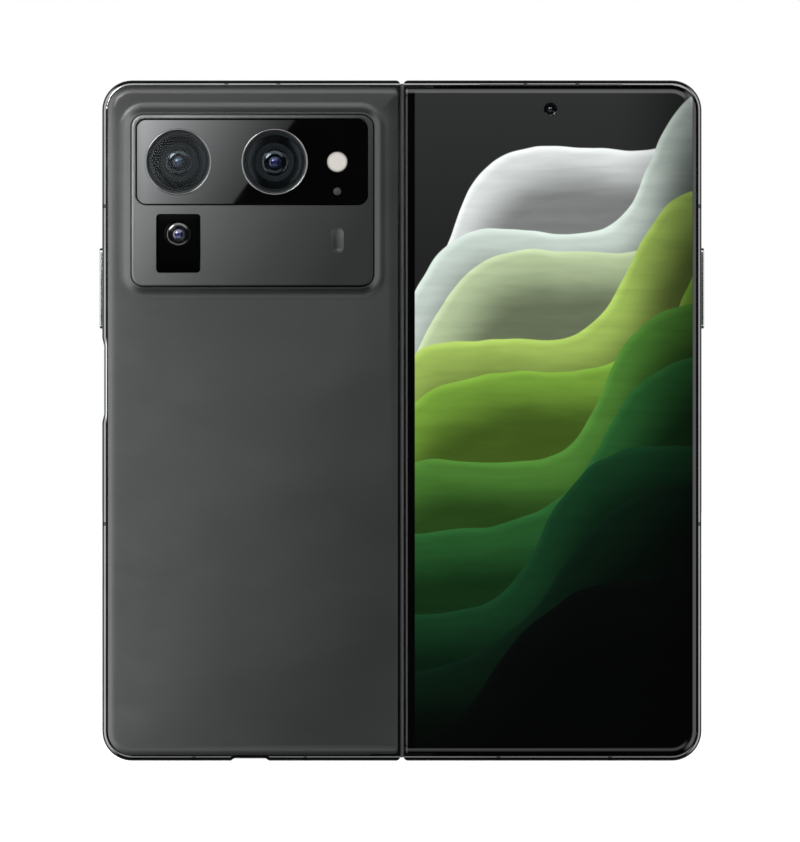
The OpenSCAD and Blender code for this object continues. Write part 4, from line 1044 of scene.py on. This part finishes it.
# %% Draw the ribbons
screen = Finish("cover_screen")
point, x, _, z = screen.place()
RIBBON_TILT = math.radians(31)
along = x * math.cos(RIBBON_TILT) + z * math.sin(RIBBON_TILT)
across = z * math.cos(RIBBON_TILT) - x * math.sin(RIBBON_TILT)
silk = screen.noise(point, 1.0, 4, (14, 1, 2.2), 0.4)
drift = screen.noise(point, 22.0, 2)
sky = screen.ramp(z / 160.0, [(0.0, srgb(2, 2, 2)), (0.25, srgb(6, 6, 6)), (0.6, srgb(24, 24, 24)),
                              (1.0, srgb(48, 49, 49))])
RIBBONS = [
    # height, swing, length of the wave, shift, colour
    (98.0, 9.0, 74.0, 0.0, (236, 241, 239)),
    (88.0, 8.0, 66.0, 0.9, (214, 228, 219)),
    (79.0, 9.0, 82.0, 2.1, (196, 214, 170)),
    (70.0, 7.5, 70.0, 3.0, (170, 200, 98)),
    (60.0, 8.5, 88.0, 4.2, (124, 168, 62)),
    (49.0, 8.0, 72.0, 5.0, (78, 130, 52)),
    (38.0, 7.0, 84.0, 0.4, (40, 92, 44)),
    (27.0, 7.5, 76.0, 1.6, (20, 58, 32)),
    (16.0, 6.0, 90.0, 2.6, (8, 28, 16)),
    (5.0, 6.0, 80.0, 3.9, (3, 6, 4)),
]
DRIFT = 5.0
RIM_BAND, FADE_BAND = 2.4, 15.0
picture = sky
for height, swing, length, shift, colour in RIBBONS:
    wave = screen.maths("SINE", along * (2 * math.pi / length) + shift)
    line = height + swing * wave + DRIFT * drift
    below = line - across
    covered = screen.step(below, 0.0, 0.35)
    rim_light = 1.0 - screen.step(below, 0.0, RIM_BAND)
    depth_fade = 1.0 - screen.step(below, 1.0, FADE_BAND)
    strength = (0.24 + 0.62 * depth_fade + 0.35 * rim_light) * (0.78 + 0.44 * silk)
    ribbon = screen.mix(1.0, srgb(*colour), screen.grey(strength), "MULTIPLY")
    picture = screen.mix(covered, picture, ribbon)
fade_right = screen.step(x, 72.0, 48.0)
fade_foot = screen.step(z, -8.0, 18.0)
print(len(RIBBONS), "ribbons,", len(screen.tree.nodes), "nodes")

# %% [markdown]
# The picture ends short of the glass: a black border runs round it, widest beside the hinge,
# and a round hole in the print lets the camera look out. There the glass is clear, so the
# small lens behind it is really seen. The edge along the hinge is ground and shows dark grey.

# %% Finish the cover glass
BORDER_HINGE, BORDER_END, BORDER_SOFT = 2.1, 1.25, 0.1
BORDER_SIDE = 0.7
GROUND_EDGE = 0.45
CAMERA_X, CAMERA_Z = 34.8, 152.6
CAMERA_HOLE, HOLE_SOFT = 1.6, 0.06
glass_x0, glass_x1, glass_z0, glass_z1 = flat_box("cover_glass")
from_hinge = screen.step(x - glass_x0, BORDER_HINGE - BORDER_SOFT, BORDER_HINGE + BORDER_SOFT)
from_top = screen.step(glass_z1 - z, BORDER_END - BORDER_SOFT, BORDER_END + BORDER_SOFT)
from_foot = screen.step(z - glass_z0, BORDER_END - BORDER_SOFT, BORDER_END + BORDER_SOFT)
from_side = screen.step(glass_x1 - x, BORDER_SIDE, BORDER_SIDE + 2 * BORDER_SOFT)
shown = from_hinge * from_top * from_foot * from_side
picture = screen.mix((fade_right * 0.75 + 0.25) * fade_foot, (0.0, 0.0, 0.0), picture)
picture = screen.mix(shown, (0.0, 0.0, 0.0), picture)
wipes = screen.noise(point, 12.0, 4, (2, 1, 1))
ground = 1.0 - screen.step(x - glass_x0, GROUND_EDGE - BORDER_SOFT, GROUND_EDGE)
black = screen.mix(wipes, (0.0006, 0.0006, 0.0007), (0.0012, 0.0012, 0.0013))
screen.set(Base_Color=screen.mix(ground, black, (0.085, 0.085, 0.085)),
           Roughness=0.02 + 0.02 * wipes, IOR=1.5, Emission_Color=picture, Emission_Strength=1.0)
away = ((x - CAMERA_X) ** 2.0 + (z - CAMERA_Z) ** 2.0) ** 0.5
hole = 1.0 - screen.step(away, CAMERA_HOLE - HOLE_SOFT, CAMERA_HOLE + HOLE_SOFT)
share, through, mirror = mirror_over(screen, 1.5, (0.9, 0.9, 0.9))
clear = screen.node("ShaderNodeMixShader", inputs={0: share, 1: through, 2: mirror})
solid = Value(screen, screen.shader.outputs["BSDF"])
wear(screen, screen.node("ShaderNodeMixShader", inputs={0: hole, 1: solid, 2: clear}))
paint(screen, "cover_glass")

# %% [markdown]
# ## The cover camera and the earpiece
#
# A tiny lens looks through the hole in the print, and a fine woven mesh fills the earpiece
# slit between the glass and the frame.

# %% Build the cover camera
HOUSE_HALF = 2.8
eye_metal = element_glass("cover_camera_coating", (0.02, 0.03, 0.07), (0.008, 0.009, 0.012),
                          (CAMERA_X, CAMERA_Z), 1.3)
eye = turned("cover_camera_lens", CAMERA_X, CAMERA_Z,
             [*dome(0.62, 6.30, 0.12), (0.66, 6.26), (0.7, 6.42), (1.1, 6.46), (1.25, 6.44),
              (1.45, 6.48), (1.5, 6.44), (1.5, 6.05)], eye_metal)
fit(eye, "cover_half")


def house_loop(inset):
    half = HOUSE_HALF - inset
    return rounded_loop(CAMERA_X - half, CAMERA_X + half, CAMERA_Z - half, CAMERA_Z + half, 0.6)


eye_house = stacked("cover_camera_house",
                    [(house_loop(0.0), 1.6), (house_loop(0.0), 5.9), (house_loop(0.1), 6.0)],
                    barrel_black)
fit(eye_house, "cover_half", "cover_camera")

RADIANS_PER_MM = 30.0
mesh_metal = Finish("earpiece_weave")
_, x, _, z = mesh_metal.place()
wires = mesh_metal.maths("SINE", x * RADIANS_PER_MM) * mesh_metal.maths("SINE", z * RADIANS_PER_MM)
tone = mesh_metal.mix(mesh_metal.clamp(wires), (0.004, 0.004, 0.004), (0.05, 0.05, 0.05))
mesh_metal.set(Metallic=0.6, Base_Color=tone, Roughness=0.45,
               Normal=mesh_metal.bump(wires, 0.02, 0.6))
paint(mesh_metal, "earpiece_grille")

# %% [markdown]
# ## The inner display
#
# Inside, one soft screen covers both halves. It is off, so it shows as a black mirror with a
# faint blue cast. Its bezel is moulded rubber, a little above it. The stretch that bends is a
# screen and two bezels. Each of them is made of two pieces that meet on the spine.

# %% Finish the inner display
soft_screen = grained("soft_screen_film", (0.0035, 0.0037, 0.0045), (0.006, 0.0063, 0.0075),
                      0.05, 0.05, size=14.0, stretch=(0.35, 1, 3), bump=(0.02, 0.4),
                      Coat_Weight=0.5, Coat_Roughness=0.03)
paint(soft_screen, "rear_display", "cover_display")
bezel_rubber = grained("bezel_rubber", (0.010, 0.010, 0.011), (0.022, 0.022, 0.023),
                       0.5, 0.2, size=0.2, bump=(0.01, 0.4))
paint(bezel_rubber, "rear_bezel", "cover_bezel")

# %% [markdown]
# Bending needs many cross rows, so each piece of the strip is a long slab of thin steps from
# the outer end to the middle of the hinge.

# %% Build the bending strip
strip_low, strip_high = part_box("fold_strip")
SCREEN_TOP, BEZEL_TOP, STRIP_BACK = 0.45, 0.02, 0.95
BEZEL_WIDTH = 1.85 * MM
STRIP_BEVEL = 0.08
STRIP_STEPS = 28
BEND_END = 0.0002


def bending_strip(name, x_from, z0, z1, top, finish):
    """A long thin slab with many cross rows, from its outer end to the middle of the hinge."""
    mesh = bmesh.new()
    loops = []
    for k in range(STRIP_STEPS + 1):
        x = x_from * (1 - k / STRIP_STEPS)
        corners = ((z0, top + STRIP_BEVEL), (z0 + STRIP_BEVEL * MM, top),
                   (z1 - STRIP_BEVEL * MM, top), (z1, top + STRIP_BEVEL),
                   (z1, STRIP_BACK), (z0, STRIP_BACK))
        loops.append([Vector((x, depth_y(d), z)) for z, d in corners])
    join_loops(mesh, loops)
    return finish_mesh(name, mesh, finish)


screen_z0, screen_z1 = strip_low.z + BEZEL_WIDTH, strip_high.z - BEZEL_WIDTH
for name, z0, z1, top, finish, slot in (
        ("screen", screen_z0, screen_z1, SCREEN_TOP, soft_screen, "display"),
        ("lower_bezel", strip_low.z, screen_z0, BEZEL_TOP, bezel_rubber, "bezel"),
        ("upper_bezel", screen_z1, strip_high.z, BEZEL_TOP, bezel_rubber, "bezel")):
    for half, outer_x, end_x in (("rear", strip_low.x, -BEND_END), ("cover", strip_high.x, BEND_END)):
        piece = bending_strip(f"fold_{name}_{half}", outer_x, z0, z1, top, finish)
        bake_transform(piece)
        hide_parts("fold_strip")

# %% [markdown]
# ## The hinge and the inside
#
# The spine cover is painted a satin dark grey. Inside it, steel shafts, stacked washers and
# geared arms do the work. What lies inside the halves is hidden, and still gets the finish that
# it has on a bench: green solder mask, tinned shields, foil on the batteries.

# %% Finish the hinge
spine_paint = grained("satin_grey_spine", (0.10, 0.102, 0.104), (0.15, 0.152, 0.154),
                      0.30, 0.12, size=0.4, bump=(0.004, 0.4), Metallic=0.2)
paint(spine_paint, "spine_cover")


def bare_metal(name, low, high, rough, stretch=(1, 1, 5)):
    """A bare metal with drawn or rolled streaks."""
    return grained(name, low, high, rough, 0.15, size=0.3, stretch=stretch, Metallic=1.0)


hinge_steel = bare_metal("ground_hinge_steel", (0.40, 0.40, 0.41), (0.56, 0.56, 0.57), 0.22)
arm_steel = bare_metal("sintered_arm_steel", (0.22, 0.22, 0.23), (0.32, 0.32, 0.33), 0.38, (1, 1, 1))
gear_brass = bare_metal("hobbed_brass", (0.52, 0.38, 0.16), (0.66, 0.50, 0.24), 0.25)
paint(hinge_steel, "hinge_shafts", "friction_washers", "hinge_brackets", "rear_arm_screws",
      "cover_arm_screws")
paint(arm_steel, "rear_hinge_arms", "cover_hinge_arms")
paint(gear_brass, "idler_gears_left", "idler_gears_right")

# %% [markdown]
# All that is left is plain: metal with drawn or rolled streaks, and plastic or film with a
# fine grain. A loop gives each kind its colour and gloss.

# %% Finish what the halves hold
shield_tin = bare_metal("tinned_shield", (0.50, 0.50, 0.50), (0.62, 0.62, 0.62), 0.3, (2, 1, 2))
paint(shield_tin, "board_shields", "sim_reader", "rear_key_switches", "cover_key_switch",
      "vibration_motor")
for name, low, high, rough, nodes in (
        ("green_solder_mask", (0.008, 0.05, 0.026), (0.014, 0.075, 0.038), 0.35,
         ("main_board", "bottom_board", "cover_board")),
        ("battery_foil", (0.014, 0.014, 0.015), (0.028, 0.028, 0.03), 0.4,
         ("rear_battery", "cover_battery")),
        ("moulded_housing", (0.012, 0.012, 0.013), (0.024, 0.024, 0.026), 0.5,
         ("loudspeaker", "inner_camera")),
        ("amber_cable_film", (0.28, 0.13, 0.025), (0.38, 0.19, 0.045), 0.3,
         ("rear_ribbon", "spine_ribbon", "cover_ribbon")),
        ("display_panel_back", (0.006, 0.006, 0.007), (0.012, 0.012, 0.013), 0.3,
         ("cover_panel",))):
    paint(grained(name, low, high, rough, 0.15, size=0.4), *nodes)

# %% [markdown]
# ## The size of the dressed model
#
# The last cell prints how big the dressed model is.

# %% Print the size of the dressed model
low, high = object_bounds()
print("dressed box in mm:", [round(v / MM, 2) for v in (*low, *high)])
